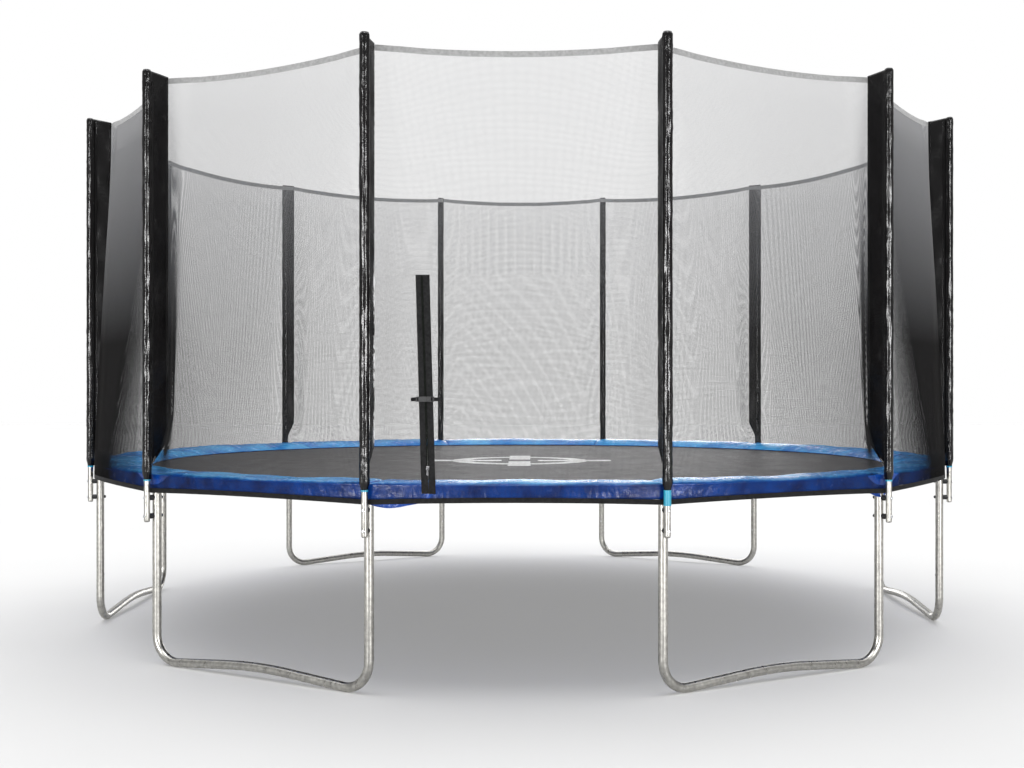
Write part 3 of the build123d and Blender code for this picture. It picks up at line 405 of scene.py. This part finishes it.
def net_yarn():
    """Polyethylene yarn: black low down, with painted light that makes it paler towards the top."""
    recipe = Recipe("net_yarn_finish", Specular_IOR_Level=0.2)
    height = recipe.add("SeparateXYZ", Vector=recipe.place).outputs["Z"]
    # Painted light: the yarn goes from black to pale grey with height, for the light on the upper
    # net.
    painted_top_light = recipe.range(height, 0.0, 1.0, 1.4, 2.8)
    recipe.colour(recipe.between(painted_top_light, (0.006, 0.005, 0.005), (0.42, 0.42, 0.43), 0.1, 0.95))
    recipe.roughness(recipe.range(recipe.noise(200), 0.5, 0.7))
    recipe.bump((recipe.noise(3000, 2), 0.00005))
    return recipe.material


def mat_cloth():
    """Woven mat: square weave, speckled by thread ends, dull grey shine along the threads."""
    recipe = Recipe("mat_weave_finish", Specular_IOR_Level=0.3, Sheen_Weight=0.12,
                    Sheen_Roughness=0.35, Sheen_Tint=(0.75, 0.72, 0.72, 1))
    weave = recipe.product(recipe.threads(400, "X"), recipe.threads(400, "Y"))
    speckle = recipe.noise(95, 6)
    recipe.colour(recipe.between(speckle, (0.012, 0.011, 0.011), (0.085, 0.08, 0.08), 0.38, 0.66))
    recipe.roughness(recipe.range(recipe.noise(12, 4), 0.42, 0.56))
    recipe.bump((recipe.noise(3, 2), 0.004), (weave, 0.0005))
    return recipe.material


def moulded(name, low, high, rough):
    """Moulded plastic: one colour with faint flow marks and a fine spark texture."""
    recipe = Recipe(name, Specular_IOR_Level=0.4)
    recipe.colour(recipe.between(recipe.noise(30, 3), low, high))
    recipe.roughness(recipe.range(recipe.noise(80), rough - 0.07, rough + 0.07))
    recipe.bump((recipe.noise(900, 2), 0.00012))
    return recipe.material


FINISH |= {
    "black_plastic": moulded("black_plastic_finish", (0.011, 0.011, 0.012),
                             (0.022, 0.022, 0.024), 0.42),
    "foam": moulded("foam_finish", (0.02, 0.02, 0.02), (0.045, 0.045, 0.045), 0.9),
    "black_vinyl": vinyl("black_vinyl_finish", (0.003, 0.0026, 0.0028), (0.008, 0.007, 0.0075),
                         gloss=0.16, shine=0.36),
    "light_blue_vinyl": vinyl("light_blue_vinyl_finish", (0.03, 0.42, 0.66), (0.05, 0.56, 0.8),
                              gloss=0.35),
    "blue_vinyl": pad_vinyl(),
    "mat_weave": mat_cloth(),
    "black_webbing": cloth("black_webbing_finish", (0.006, 0.006, 0.0065), (0.02, 0.02, 0.021), 500,
                           shine=0.15, sheen=0.03),
    "net_mesh": net_yarn(),
    "grey_binding": cloth("grey_binding_finish", (0.44, 0.44, 0.44), (0.6, 0.6, 0.6), 450),
    "zip_nylon": cloth("zip_tape_finish", (0.005, 0.007, 0.005), (0.012, 0.016, 0.011), 800,
                       shine=0.08, sheen=0.0),
}
for node in nodes.values():
    slot = node.data.materials[0].name.split(".")[0]
    node.material_slots[0].material = FINISH[slot]
print("finishes on", len(nodes), "CAD nodes")

# %% [markdown]
# ## The net's surface
# The net stands upright round the pad, and leans in above it. Cloth pulled tight between a round
# edge below and a straight edge above takes the shape of a skin stretched over the two: a flat
# triangle in the middle of each panel, with a piece of a cone each side. Beside a sleeve it is
# drawn in to its seam. Radius and height are given here as functions of the angle from the middle
# of a panel, the same ones that the CAD solids follow.

# %% The net's surface
HALF = 15.0  # degrees from the middle of a panel to a pole
NET_LOW_R = 2.4467
NET_HIGH_R = 2.359
NET_BEND_Z = 0.945
NET_SEAM_Z = 1.060
NET_TOP_Z = 2.790
NET_SAG = 0.031
SEAM_SPREAD = 4.0  # degrees over which a sleeve draws the net in
HEM_POLE_Z = 0.815
HEM_MID_Z = 0.830
BOTTOM_HEM = 0.022
TOP_HEM = 0.026


def share_between(value, low, high):
    """How far value has come from low to high, held between 0 and 1."""
    return np.clip((value - low) / (high - low), 0, 1)


def smooth_step(share):
    """0 to 1 with level ends: 3 s squared less 2 s cubed."""
    return share * share * (3 - 2 * share)


def seam_radius(z):
    """The net's edge along a sleeve's fin."""
    return NET_LOW_R + (NET_HIGH_R - NET_LOW_R) * share_between(z, NET_BEND_Z, NET_SEAM_Z)


def taut_radius(phi, z):
    """Flat in the middle, and beyond it an arc round the place where the straight edge ends."""
    share = share_between(z, NET_BEND_Z, NET_TOP_Z)
    bow, reach = NET_LOW_R * (1 - share), NET_HIGH_R * share
    side, half = np.radians(np.abs(phi)), math.radians(HALF)
    flat = (bow + reach * math.cos(half)) / np.cos(side)
    root = np.maximum(bow**2 - (reach * np.sin(half - side)) ** 2, 0)
    cone = reach * np.cos(half - side) + np.sqrt(root)
    return np.where(flat * np.sin(side) <= reach * math.sin(half), flat, cone)


def net_radius(phi, z):
    """Taut between the sleeves, and drawn in to its seam beside each of them."""
    away = smooth_step(share_between(HALF - np.abs(phi), 0, SEAM_SPREAD))
    return seam_radius(z) + (taut_radius(phi, z) - seam_radius(z)) * away


def net_top(phi):
    """Lower edge of the top hem: a shallow curve that hangs between two poles."""
    reach = np.tan(np.radians(phi)) / math.tan(math.radians(HALF))
    return NET_TOP_Z - NET_SAG * (1 - reach**2) - TOP_HEM


def net_bottom(phi):
    """Upper edge of the bottom hem."""
    return HEM_MID_Z + (HEM_POLE_Z - HEM_MID_Z) * (phi / HALF) ** 2 + BOTTOM_HEM


print("net radius in mid panel", round(float(net_radius(0, 1.8)), 3), "at a pole", NET_HIGH_R)

# %% [markdown]
# ## The net's yarn
# A safety net is an open mesh, and its holes are what is seen: straight on it is nearly clear, and
# at a slant it goes dark. A texture with holes would do from afar, but the yarn is made here, as
# thin three-sided rods 5 mm apart both ways, so that the net stays a net from every side. The rods
# are a stack of lines in one array, each line the same formula with another angle or height, and
# three corners round every point of it. The area stated is a share of the panel, chosen to suit the
# yarn's surface.

# %% The net's yarn
YARN = 0.00066  # width of a rod
DEPTH = 2.0  # how far it stands on edge, as knitted yarn does
PITCH = 0.005
WAVER = 0.0012  # how far the yarn strays up and down
STATIONS = 13  # points along a rod
DOOR_TOP_Z = 1.790
DOOR_BOTTOM_Z = 0.952
MID_DOOR_Z = 1.3
ZIP_FOOT = np.array([-0.368, -2.41847, DOOR_BOTTOM_Z])
ZIP_LOW_PHI = math.degrees(math.atan2(ZIP_FOOT[0], -ZIP_FOOT[1]))
ZIP_HIGH_PHI = math.degrees(math.atan2(-0.399, 2.36434))
SLIT = 0.009  # half the gap in the net at the zip


def rods(lines, out):
    """Three-sided rods along lines (threads, points, 3); out is the net's outward direction."""
    along = np.gradient(lines, axis=1)
    along /= np.linalg.norm(along, axis=2, keepdims=True)
    aside = np.cross(along, out)
    aside /= np.linalg.norm(aside, axis=2, keepdims=True)
    turns = np.radians([90, 210, 330])
    reach = YARN / math.sqrt(3)
    ring = (reach * np.cos(turns)[:, None] * aside[:, :, None]
            + reach * DEPTH * np.sin(turns)[:, None] * out[:, :, None])
    points = lines[:, :, None] + ring
    threads, stations = lines.shape[:2]
    one = grid_faces(stations, 3, round_columns=True)
    starts = np.arange(threads)[:, None, None] * stations * 3
    return points.reshape(-1, 3), (one[None] + starts).reshape(-1, 4)


def yarn_patch(middle, left, right, low, high):
    """Both sets of rods on one patch of net: left and right give phi for a height, and low and
    high give a height for phi."""
    width = math.radians(float(right(low(0)) - left(low(0)))) * NET_LOW_R
    tall = float(high(0.0) - low(0.0))
    run = np.linspace(0, 1, STATIONS)
    upright = (np.arange(int(width / PITCH)) + 0.5) / int(width / PITCH)
    level = (np.arange(int(tall / PITCH)) + 0.5) / int(tall / PITCH)
    parts = []
    for a, b in ((upright[:, None], run[None, :]), (run[None, :], level[:, None])):
        a, b = np.broadcast_arrays(a, b)
        phi = left(MID_DOOR_Z) + (right(MID_DOOR_Z) - left(MID_DOOR_Z)) * a
        z = low(phi) + (high(phi) - low(phi)) * b
        phi = left(z) + (right(z) - left(z)) * a
        z = z + WAVER * np.sin(9 * a + 31 * b + middle) * np.sin(math.pi * b)
        lines = polar(net_radius(phi, z), middle + phi, z)
        parts.append(rods(lines, polar(1.0, middle + phi, 0 * z)))
    return merged(parts)


def rod_caps(count):
    """A triangle at each end of count rods that are stored one after another."""
    start = np.arange(count)[:, None] * STATIONS * 3
    return np.concatenate((start + (0, 2, 1), start + 3 * (STATIONS - 1) + (0, 1, 2)))


def everywhere(value):
    """An edge of a patch that has the same angle or height all along."""
    return lambda _: value + 0 * np.asarray(_, float)


def zip_phi(z):
    """Angle of the zip's line: from its lower end to its upper end, and straight down below."""
    return ZIP_LOW_PHI + (ZIP_HIGH_PHI - ZIP_LOW_PHI) * share_between(z, DOOR_BOTTOM_Z, DOOR_TOP_Z)


SLIT_PHI = math.degrees(SLIT / 2.4)
SEAM_PHI = HALF - 0.004
for number in range(12):
    middle = 30.0 * number
    if number:
        points, faces = yarn_patch(
            middle, everywhere(-SEAM_PHI), everywhere(SEAM_PHI), net_bottom, net_top)
    else:
        points, faces = merged([
            yarn_patch(0, everywhere(-SEAM_PHI), lambda z: zip_phi(z) - SLIT_PHI, net_bottom,
                       everywhere(DOOR_TOP_Z)),
            yarn_patch(0, lambda z: zip_phi(z) + SLIT_PHI, everywhere(SEAM_PHI), net_bottom,
                       everywhere(DOOR_TOP_Z)),
            yarn_patch(0, everywhere(-SEAM_PHI), everywhere(SEAM_PHI), everywhere(DOOR_TOP_Z),
                       net_top)])
    panel = new_piece(f"net_panel_{number + 1}", points, faces, FINISH["net_mesh"],
                      caps=rod_caps(len(points) // (3 * STATIONS)))
    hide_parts("safety_net")
print("12 net panels,", len(faces) * 2, "triangles in the last one")

# %% [markdown]
# ## The zip's tapes
# The tapes of a closed zip touch along the coil, and each is folded over and sewn down along its
# outer edge, so the two read as one wide strip. The CAD tapes stand apart by the width of the
# coil. Sliding their inner edges together and their outer edges out, along the door, is enough.

# %% The zip's tapes
DOOR_ALONG = np.array([0.997152, -0.075418, 0.0])
ZIP_LEAN = -0.036993  # sideways travel of the zip's line for each metre up
TAPE_MIDDLE = 0.008  # tells a tape's inner edge from its outer one
TAPE_INNER, TAPE_OUTER = 0.0006, 0.0300
tape_mesh = nodes["zip_tapes"].data.copy()
corners = np.empty(len(tape_mesh.vertices) * 3, np.float32)
tape_mesh.vertices.foreach_get("co", corners)
corners = corners.reshape(-1, 3).astype(float)
lean = (corners[:, 2] - ZIP_FOOT[2]) * ZIP_LEAN
offset = (corners - ZIP_FOOT) @ DOOR_ALONG - lean
wanted = np.sign(offset) * np.where(np.abs(offset) < TAPE_MIDDLE, TAPE_INNER, TAPE_OUTER)
corners += (wanted - offset)[:, None] * DOOR_ALONG
tape_mesh.vertices.foreach_set("co", corners.astype(np.float32).ravel())
tape_mesh.update()
tapes = bpy.data.objects.new("zip_tapes_sewn", tape_mesh)
bpy.context.scene.collection.objects.link(tapes)
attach(tapes, "root")
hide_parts("zip_tapes")
print("tape offsets were", np.unique(np.round(np.abs(offset), 4))[:6], "m from the zip's line")

# %% [markdown]
# ## Creases
# Loose vinyl doesn't wrinkle in smooth waves: it stays flat and folds sharply along lines that
# wander. A wave with its top turned to an edge, one minus the size of its sine, raised to a power,
# gives one set of such lines. A few sets at chance slants, bent by slow waves, make cloth.


# %% Creases
def creases(across, along, seed, sets, spacing, slant, sharp=3.0):
    """0 to 1: sharp lines about spacing apart, mostly along the second direction."""
    chance = np.random.default_rng(seed)
    total = np.zeros(np.broadcast(across, along).shape)
    for _ in range(sets):
        lean, phase, bend, gap = chance.uniform((-slant, 0, 0, 0.7), (slant, 6.28, 6.28, 1.5))
        warp = 0.7 * (np.sin(across / spacing * 0.45 + bend) + np.sin(along / spacing * 0.3 - bend))
        wave = np.sin((across + lean * along) * math.pi / (spacing * gap) + warp + phase)
        fade = 0.5 + 0.5 * np.sin(along / spacing * 0.37 * gap + across / spacing * 0.21 + 2 * phase)
        total += (1 - np.abs(wave)) ** sharp * fade
    return total / sets


example = creases(np.linspace(0, 1, 500), 0.3, seed=1, sets=3, spacing=0.05, slant=0.5)
print("creases range up to", round(float(example.max()), 2))

# %% [markdown]
# ## The pole sleeves
# Each pole wears foam and over it a loose black vinyl sleeve, sewn into a flat fin that runs in to
# the net. The section is a circle with the fin's two sides drawn out of it, carried up the pole.
# Its radius is small at the neck, wide over the foam, and varied by creases that run mostly up and
# down, which break the light on the gloss into ragged lines.

# %% The pole sleeves
POLE_RING_R = 2.471
SLEEVE_LOW_Z = 0.880
NECK_Z = 0.882
FOAM_Z = 0.892
SLEEVE_TOP_Z = 2.813
BARE_R, FOAM_R = 0.0158, 0.0230  # outside of the sleeve over the pole and over the foam
FIN_HALF = 0.0014
FIN_GAP = 0.09  # radians each side of the fin's root
FOLD_DEPTH, CROSS_DEPTH, GATHER_DEPTH = 0.0050, 0.0042, 0.0012
ROUND_POINTS = 48
FIN_POINTS = 6
SLEEVE_ROWS = 200


def sleeve_radius(z):
    """Narrow at the foot, wide over the foam, and drawn in again at the very top."""
    body = BARE_R + (FOAM_R - BARE_R) * smooth_step(share_between(z, NECK_Z, FOAM_Z + 0.02))
    top = share_between(z, SLEEVE_TOP_Z - 0.012, SLEEVE_TOP_Z)
    return body * np.sqrt(np.maximum(1 - 0.35 * top**2, 0.01))


def fin_tip(z):
    """Radius, from the trampoline's axis, of the fin's inner edge, which follows the net's seam."""
    return seam_radius(z) + 0.0008


def sleeve(seed):
    """Rings of points up one sleeve, in (outward, sideways, height)."""
    z = np.linspace(SLEEVE_LOW_Z, SLEEVE_TOP_Z, SLEEVE_ROWS)[:, None]
    radius = sleeve_radius(z)
    turn = np.linspace(math.pi - FIN_GAP, -math.pi + FIN_GAP, ROUND_POINTS)[None, :]
    fold = creases(turn * FOAM_R, z, seed, 5, 0.020, 0.16, 2.2)
    cross = creases(z, turn * FOAM_R, seed + 50, 4, 0.055, 1.3, 4.0)
    gather = np.exp(-((z - FOAM_Z) / 0.03) ** 2) * GATHER_DEPTH * np.sin(14 * turn + seed)
    hold = np.clip((math.pi - np.abs(turn)) * 2.5, 0, 1)
    loose = FOLD_DEPTH * (fold - 0.25) + CROSS_DEPTH * (cross - 0.2) + gather
    rim = smooth_step(share_between(z, SLEEVE_LOW_Z, NECK_Z)) * 0.7 + 0.3
    round_r = radius + loose * hold * rim
    outward = round_r * np.cos(turn)
    sideways = round_r * np.sin(turn)
    share = np.linspace(0, 1, FIN_POINTS + 1)[None, 1:]
    root = -radius * math.cos(FIN_GAP)
    tip = fin_tip(z) - POLE_RING_R
    wave = 0.0040 * np.sin(3.1 * z / 0.16 + seed) * np.sin(math.pi * share)
    wave = wave + 0.0030 * (creases(share * 0.1, z, seed + 9, 3, 0.06, 2.0, 2.0) - 0.2) * share
    fin_out = root + (tip - root) * share
    near = np.concatenate((fin_out[:, ::-1], outward, fin_out), 1)
    aside = np.concatenate((wave[:, ::-1] + FIN_HALF, sideways, wave - FIN_HALF), 1)
    height = np.broadcast_to(z, near.shape)
    slope = 0.16 * smooth_step(share_between(z, 2.70, SLEEVE_TOP_Z)) * np.clip(-near, 0, 1)
    return near, aside, height - slope


for number in range(1, 13):
    near, aside, height = sleeve(number)
    angle = math.radians(30.0 * number - HALF)
    outward = np.array([math.sin(angle), -math.cos(angle), 0])
    sideways = np.array([math.cos(angle), math.sin(angle), 0])
    rings = (near[..., None] + POLE_RING_R) * outward + aside[..., None] * sideways
    rings[..., 2] = height
    points, faces = tube_of_rings(rings)
    cover = new_piece(f"sleeve_{number}", points, faces, FINISH["black_vinyl"])
    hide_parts("pole_sleeves")
print("12 sleeves of", len(faces), "faces")

# %% [markdown]
# ## The pad
# The pad is a ring of twelve foam-filled vinyl sections over the springs: low where it meets the
# mat, crowned over the springs and round at the rail. A section is a lens-shaped profile carried
# along the ring. The foam pulls the vinyl in at each end seam, and the cover puckers most round
# its outer edge. Cloth simulation of a ring five metres across would need millions of points for
# creases this fine, so they are worked out instead.

# %% The pad
PAD_INNER_R = 2.1395
PAD_OUTER_R = 2.4412
PAD_ACROSS = 34  # points over the top, and as many back underneath
PAD_ALONG = 150
RIM_R = 2.443  # the ring's outside, along which lengths are measured
SEAM_HALF = math.degrees(0.0008 / RIM_R)  # half the gap between two sections


def pad_profile():
    """Radius, top height and bottom height, from the mat's side to the rail's side."""
    turn = np.linspace(0, math.pi, PAD_ACROSS)
    u = (1 - np.cos(turn)) / 2
    rise = 1 - (1 - np.clip(u / 0.5, 0, 1)) ** 2.3
    edge = np.sqrt(np.clip(1 - (np.clip(u - 0.90, 0, 1) / 0.10) ** 2, 0, 1))
    top = 0.8785 + 0.0365 * rise * (0.42 + 0.58 * edge)
    under = 0.8762 + 0.0102 * smooth_step(share_between(u, 0.18, 0.40))
    under = under + 0.0064 * smooth_step(share_between(u, 0.80, 0.88))
    return PAD_INNER_R + (PAD_OUTER_R - PAD_INNER_R) * u, u, top, np.minimum(under, top - 0.0012)


def pad_section(middle, seed):
    """Rings of the section's points, one ring for each step along it."""
    radius, u, top, under = pad_profile()
    along = np.linspace(-HALF + SEAM_HALF, HALF - SEAM_HALF, PAD_ALONG)[:, None]
    length = np.radians(along + middle) * RIM_R
    across = (radius - PAD_INNER_R)[None, :]
    to_end = np.radians(HALF - np.abs(along)) * RIM_R
    pulled = 1 - 0.30 * np.exp(-(to_end / 0.022) ** 2)
    to_pole = np.exp(-(to_end / 0.16) ** 2)
    lump = 0.0022 * np.sin(length * 7.3 + 1.3) + 0.0018 * np.sin(length * 17 + across * 9)
    pucker = creases(length, across, seed, 5, 0.045, 0.6, 2.4)
    fine = creases(length, across, seed + 20, 4, 0.018, 1.4, 2.0)
    strength = 0.25 + 0.75 * smooth_step(share_between(u, 0.55, 0.97))[None, :]
    fold = (pucker - 0.22) * (0.0085 + 0.007 * to_pole) + (fine - 0.22) * 0.0036
    height = under + (top - under) * pulled
    body = share_between(top - under, 0.004, 0.02)[None, :]
    upper = height + (lump + fold * strength) * body
    edge = share_between(u, 0.93, 1.0)[None, :]
    upper_r = radius - 0.0035 * edge * (1 - pucker) * (0.4 + to_pole)
    lower = np.broadcast_to(under, upper.shape)
    r = np.concatenate((upper_r, np.broadcast_to(radius, upper.shape)[:, ::-1]), 1)
    z = np.concatenate((upper, lower[:, ::-1]), 1)
    return polar(r, along + middle, z)


for number in range(12):
    points, faces = tube_of_rings(pad_section(30.0 * number, 100 + number))
    section = new_piece(
        f"pad_section_{number + 1}", points, faces, FINISH["blue_vinyl"])
    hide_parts("safety_pad")
print("12 pad sections of", len(faces), "faces")

# %% [markdown]
# ## The pad's skirt
# Outside the rail the cover hangs down as a skirt, a single thickness of the same vinyl with a
# rolled top seam. It is a wall that follows the ring, buckled by creases, and its lower edge goes
# up and down: it has slipped lowest beside the door's left pole and one on the right.

# %% The pad's skirt
SKIRT_ROWS = 16
SKIRT_ALONG = 220
SKIRT_TOP_Z = 0.9035
SKIRT_R = 2.4432
SKIRT_WALL = 0.0009
# Angle, spread and depth of each place where the lower edge has slipped
DIPS = ((-12.5, 3.6, 0.040), (44.5, 2.4, 0.038), (-45.0, 2.0, 0.018), (17.5, 2.0, 0.008))


def skirt_foot(theta):
    """Height of the lower edge: nearly level, with small scallops and a few slipped places."""
    foot = 0.840 + 0.004 * np.sin(np.radians(theta) * 23) + 0.0025 * np.sin(np.radians(theta) * 61)
    for middle, spread, depth in DIPS:
        foot = foot - depth * np.exp(-(((theta - middle + 180) % 360 - 180) / spread) ** 2)
    return foot


def skirt(middle, seed):
    """A closed thin wall: rings of points go down its outside and up its inside."""
    theta = middle + np.linspace(-HALF + SEAM_HALF, HALF - SEAM_HALF, SKIRT_ALONG)[:, None]
    down = np.linspace(0, 1, SKIRT_ROWS)[None, :]
    z = SKIRT_TOP_Z + (skirt_foot(theta) - SKIRT_TOP_Z) * down
    length = np.radians(theta) * SKIRT_R
    fold = creases(length, z, seed, 5, 0.034, 0.9, 2.2)
    fine = creases(length, z, seed + 30, 3, 0.014, 1.6, 2.0)
    free = smooth_step(share_between(down, 0.05, 0.5))
    bead = 0.0016 * np.exp(-((z - SKIRT_TOP_Z + 0.003) / 0.0022) ** 2)
    middle_r = SKIRT_R - 0.0002 - (0.6 - fold) * 0.0024 * free + (fine - 0.2) * 0.0011 * free
    below_rail = smooth_step(share_between(-z, -0.850, -0.815))
    middle_r = middle_r - 0.012 * below_rail * (0.6 - 0.4 * fold)
    r = np.concatenate((middle_r + SKIRT_WALL + bead, (middle_r - SKIRT_WALL)[:, ::-1]), 1)
    return polar(r, theta, np.concatenate((z, z[:, ::-1]), 1))


for number in range(12):
    points, faces = tube_of_rings(skirt(30.0 * number, 200 + number))
    valance = new_piece(f"skirt_{number + 1}", points, faces, FINISH["blue_vinyl"])
    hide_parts("pad_skirt")
print("12 skirts of", len(faces), "faces")

# %% [markdown]
# ## The mat
# The jumping surface is one round of woven cloth, doubled and sewn at its edge, stretched so hard
# by the springs that it is flat but for faint scallops between the rings. It is a disc of rings of
# points, top and underside, with a plain light cross at its centre to aim for, which is painted
# on: a second thin sheet just above the cloth.

# %% The mat
MAT_R = 2.1967
MAT_TOP_Z = 0.8735
MAT_HALF = 0.0015
STITCH_R = 2.133
MAT_ROUND = 432  # four points to each spring


def mat_disc():
    """Rings from the centre out over the top, round the edge, and back underneath."""
    out = np.concatenate((np.linspace(0.03, 2.1, 22), [2.129, 2.1315, 2.1345, 2.137, 2.16, 2.19]))
    sunk = np.where(np.abs(out - STITCH_R) < 0.0025, 0.0006, 0.0)
    turn = np.arange(MAT_ROUND) * 360 / MAT_ROUND
    edge = MAT_R - 0.0012 * (1 - np.cos(np.radians((turn - 15) * 108))) / 2
    radii = np.concatenate((out, [0], [0], out[::-1]))[:, None] * np.ones(MAT_ROUND)
    radii[len(out)] = radii[len(out) + 1] = edge
    middle = MAT_TOP_Z - MAT_HALF
    z = np.concatenate((middle + MAT_HALF - sunk, [middle + 0.001], [middle - 0.001],
                        np.full(len(out), middle - MAT_HALF)))[:, None]
    rings = polar(radii, turn[None, :], z * np.ones(MAT_ROUND))
    return tube_of_rings(rings)


points, faces = mat_disc()
mat = new_piece("mat_cloth", points, faces, FINISH["mat_weave"], body="mat")
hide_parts("jumping_mat")
print("mat cloth of", len(faces), "faces")


# %% The centre mark
MARK_Z = MAT_TOP_Z + np.array([0.0002, 0.0002, 0.0007, 0.0007])[None, :]
ACROSS = np.array([-0.5, 0.5, 0.5, -0.5])[None, :]


def mark_paint():
    """White screen print, worn so that the weave shows through."""
    recipe = Recipe("centre_mark_finish", Roughness=0.6, Specular_IOR_Level=0.3)
    worn, fresh = (0.42, 0.42, 0.42), (0.78, 0.78, 0.78)
    recipe.colour(recipe.between(recipe.noise(120, 5), worn, fresh, 0.3, 0.5))
    recipe.bump((recipe.product(recipe.threads(400, "X"), recipe.threads(400, "Y")), 0.0003))
    return recipe.material


def flat_bar(length, width, turn):
    """Closed thin bar through the centre, in two halves that leave the middle open."""
    parts = []
    for sign in (-1, 1):
        x = sign * np.linspace(0.11, length / 2, 9)[:, None]
        y = ACROSS * width
        rings = np.stack(np.broadcast_arrays(x * math.cos(turn) - y * math.sin(turn),
                                             x * math.sin(turn) + y * math.cos(turn), MARK_Z), -1)
        parts.append(tube_of_rings(rings))
    return merged(parts)


def mark_ring(radius, width):
    """Closed thin ring round the centre."""
    turn = np.linspace(0, 360, 97)[:, None]
    return tube_of_rings(polar(radius + ACROSS * width, turn, MARK_Z))


points, faces = merged([
    flat_bar(1.1, 0.13, 0), flat_bar(1.1, 0.13, math.pi / 2), mark_ring(0.36, 0.10)])
mark = new_piece("centre_mark", points, faces, mark_paint(), body="mat", smooth=False)
print("centre mark", [round(v, 2) for v in mark.dimensions])

# %% [markdown]
# ## The springs
# A hundred and eight coil springs pull the mat out to the rail. Each is one wire: a hook down into
# the mat's ring, a helix, and a hook down into the rail. The path of that wire is worked out once
# and turned to each place, and a small three-sided tube follows it.

# %% The springs
WIRE_R = 0.0016
COIL_R = 0.0104
SPRING_Z = 0.872
COIL_IN, COIL_OUT = 2.264, 2.382
HOOK_IN, HOOK_OUT = 2.234, 2.412
HOOK_IN_Z, HOOK_OUT_Z = 0.8759, 0.8879
FIRST_SPRING, SPRING_PITCH = 15, 360 / 108  # degrees
TURNS = 22
STEPS = 7  # points in a turn
SIDES = 3  # of the wire


def spring_path():
    """Middle of the wire in (radius, sideways, height)."""
    t = np.linspace(0, 1, TURNS * STEPS + 1)
    turn = math.tau * TURNS * t + math.pi / 2
    coil = np.stack((COIL_IN + (COIL_OUT - COIL_IN) * t, COIL_R * np.cos(turn),
                     SPRING_Z + COIL_R * np.sin(turn)), -1)
    inner = [(HOOK_IN, 0, HOOK_IN_Z - 0.010), (HOOK_IN, 0, HOOK_IN_Z - 0.002),
             (HOOK_IN + 0.003, 0, HOOK_IN_Z), (COIL_IN - 0.008, 0, SPRING_Z + 0.003),
             (COIL_IN - 0.003, 0, SPRING_Z + 0.006)]
    outer = [(COIL_OUT + 0.003, 0, SPRING_Z + 0.006), (COIL_OUT + 0.008, 0, SPRING_Z + 0.009),
             (HOOK_OUT - 0.010, 0, HOOK_OUT_Z), (HOOK_OUT - 0.003, 0, HOOK_OUT_Z),
             (HOOK_OUT, 0, HOOK_OUT_Z - 0.002), (HOOK_OUT, 0, HOOK_OUT_Z - 0.010)]
    return np.concatenate((inner, coil, outer))


def wire_along(path, radius):
    """Tube with corners round each point, in the plane square to the path there."""
    ahead = np.gradient(path, axis=0)
    ahead /= np.linalg.norm(ahead, axis=1, keepdims=True)
    aside = np.cross(ahead, (0.31, 0.11, 0.94))
    aside /= np.linalg.norm(aside, axis=1, keepdims=True)
    above = np.cross(aside, ahead)
    turn = np.arange(SIDES)[:, None] * math.tau / SIDES
    ring = radius * (np.cos(turn) * aside[:, None] + np.sin(turn) * above[:, None])
    points = (path[:, None] + ring).reshape(-1, 3)
    return points, grid_faces(len(path), SIDES, round_columns=True)


# The corners stand a little outside the round wire, so that the flats don't make it look thin
wire_points, wire_faces = wire_along(spring_path(), WIRE_R * 1.15)
for group in range(36):
    parts = []
    for k in range(3):
        turn = math.radians(FIRST_SPRING + (3 * group + k) * SPRING_PITCH)
        x, y, z = wire_points.T
        sine, cosine = math.sin(turn), math.cos(turn)
        parts.append((np.stack((x * sine + y * cosine, y * sine - x * cosine, z), -1), wire_faces))
    points, faces = merged(parts)
    coil = new_piece(
        f"springs_{group + 1}", points, faces, FINISH["zinc_steel"], body=None)
    centre = FIRST_SPRING + (3 * group + 1) * SPRING_PITCH
    tuple(polar(HOOK_OUT, centre, SPRING_Z))
    tuple(polar(HOOK_IN, centre, SPRING_Z))
    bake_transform(coil)
    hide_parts("springs")
print("36 groups of springs,", len(faces), "faces in each")
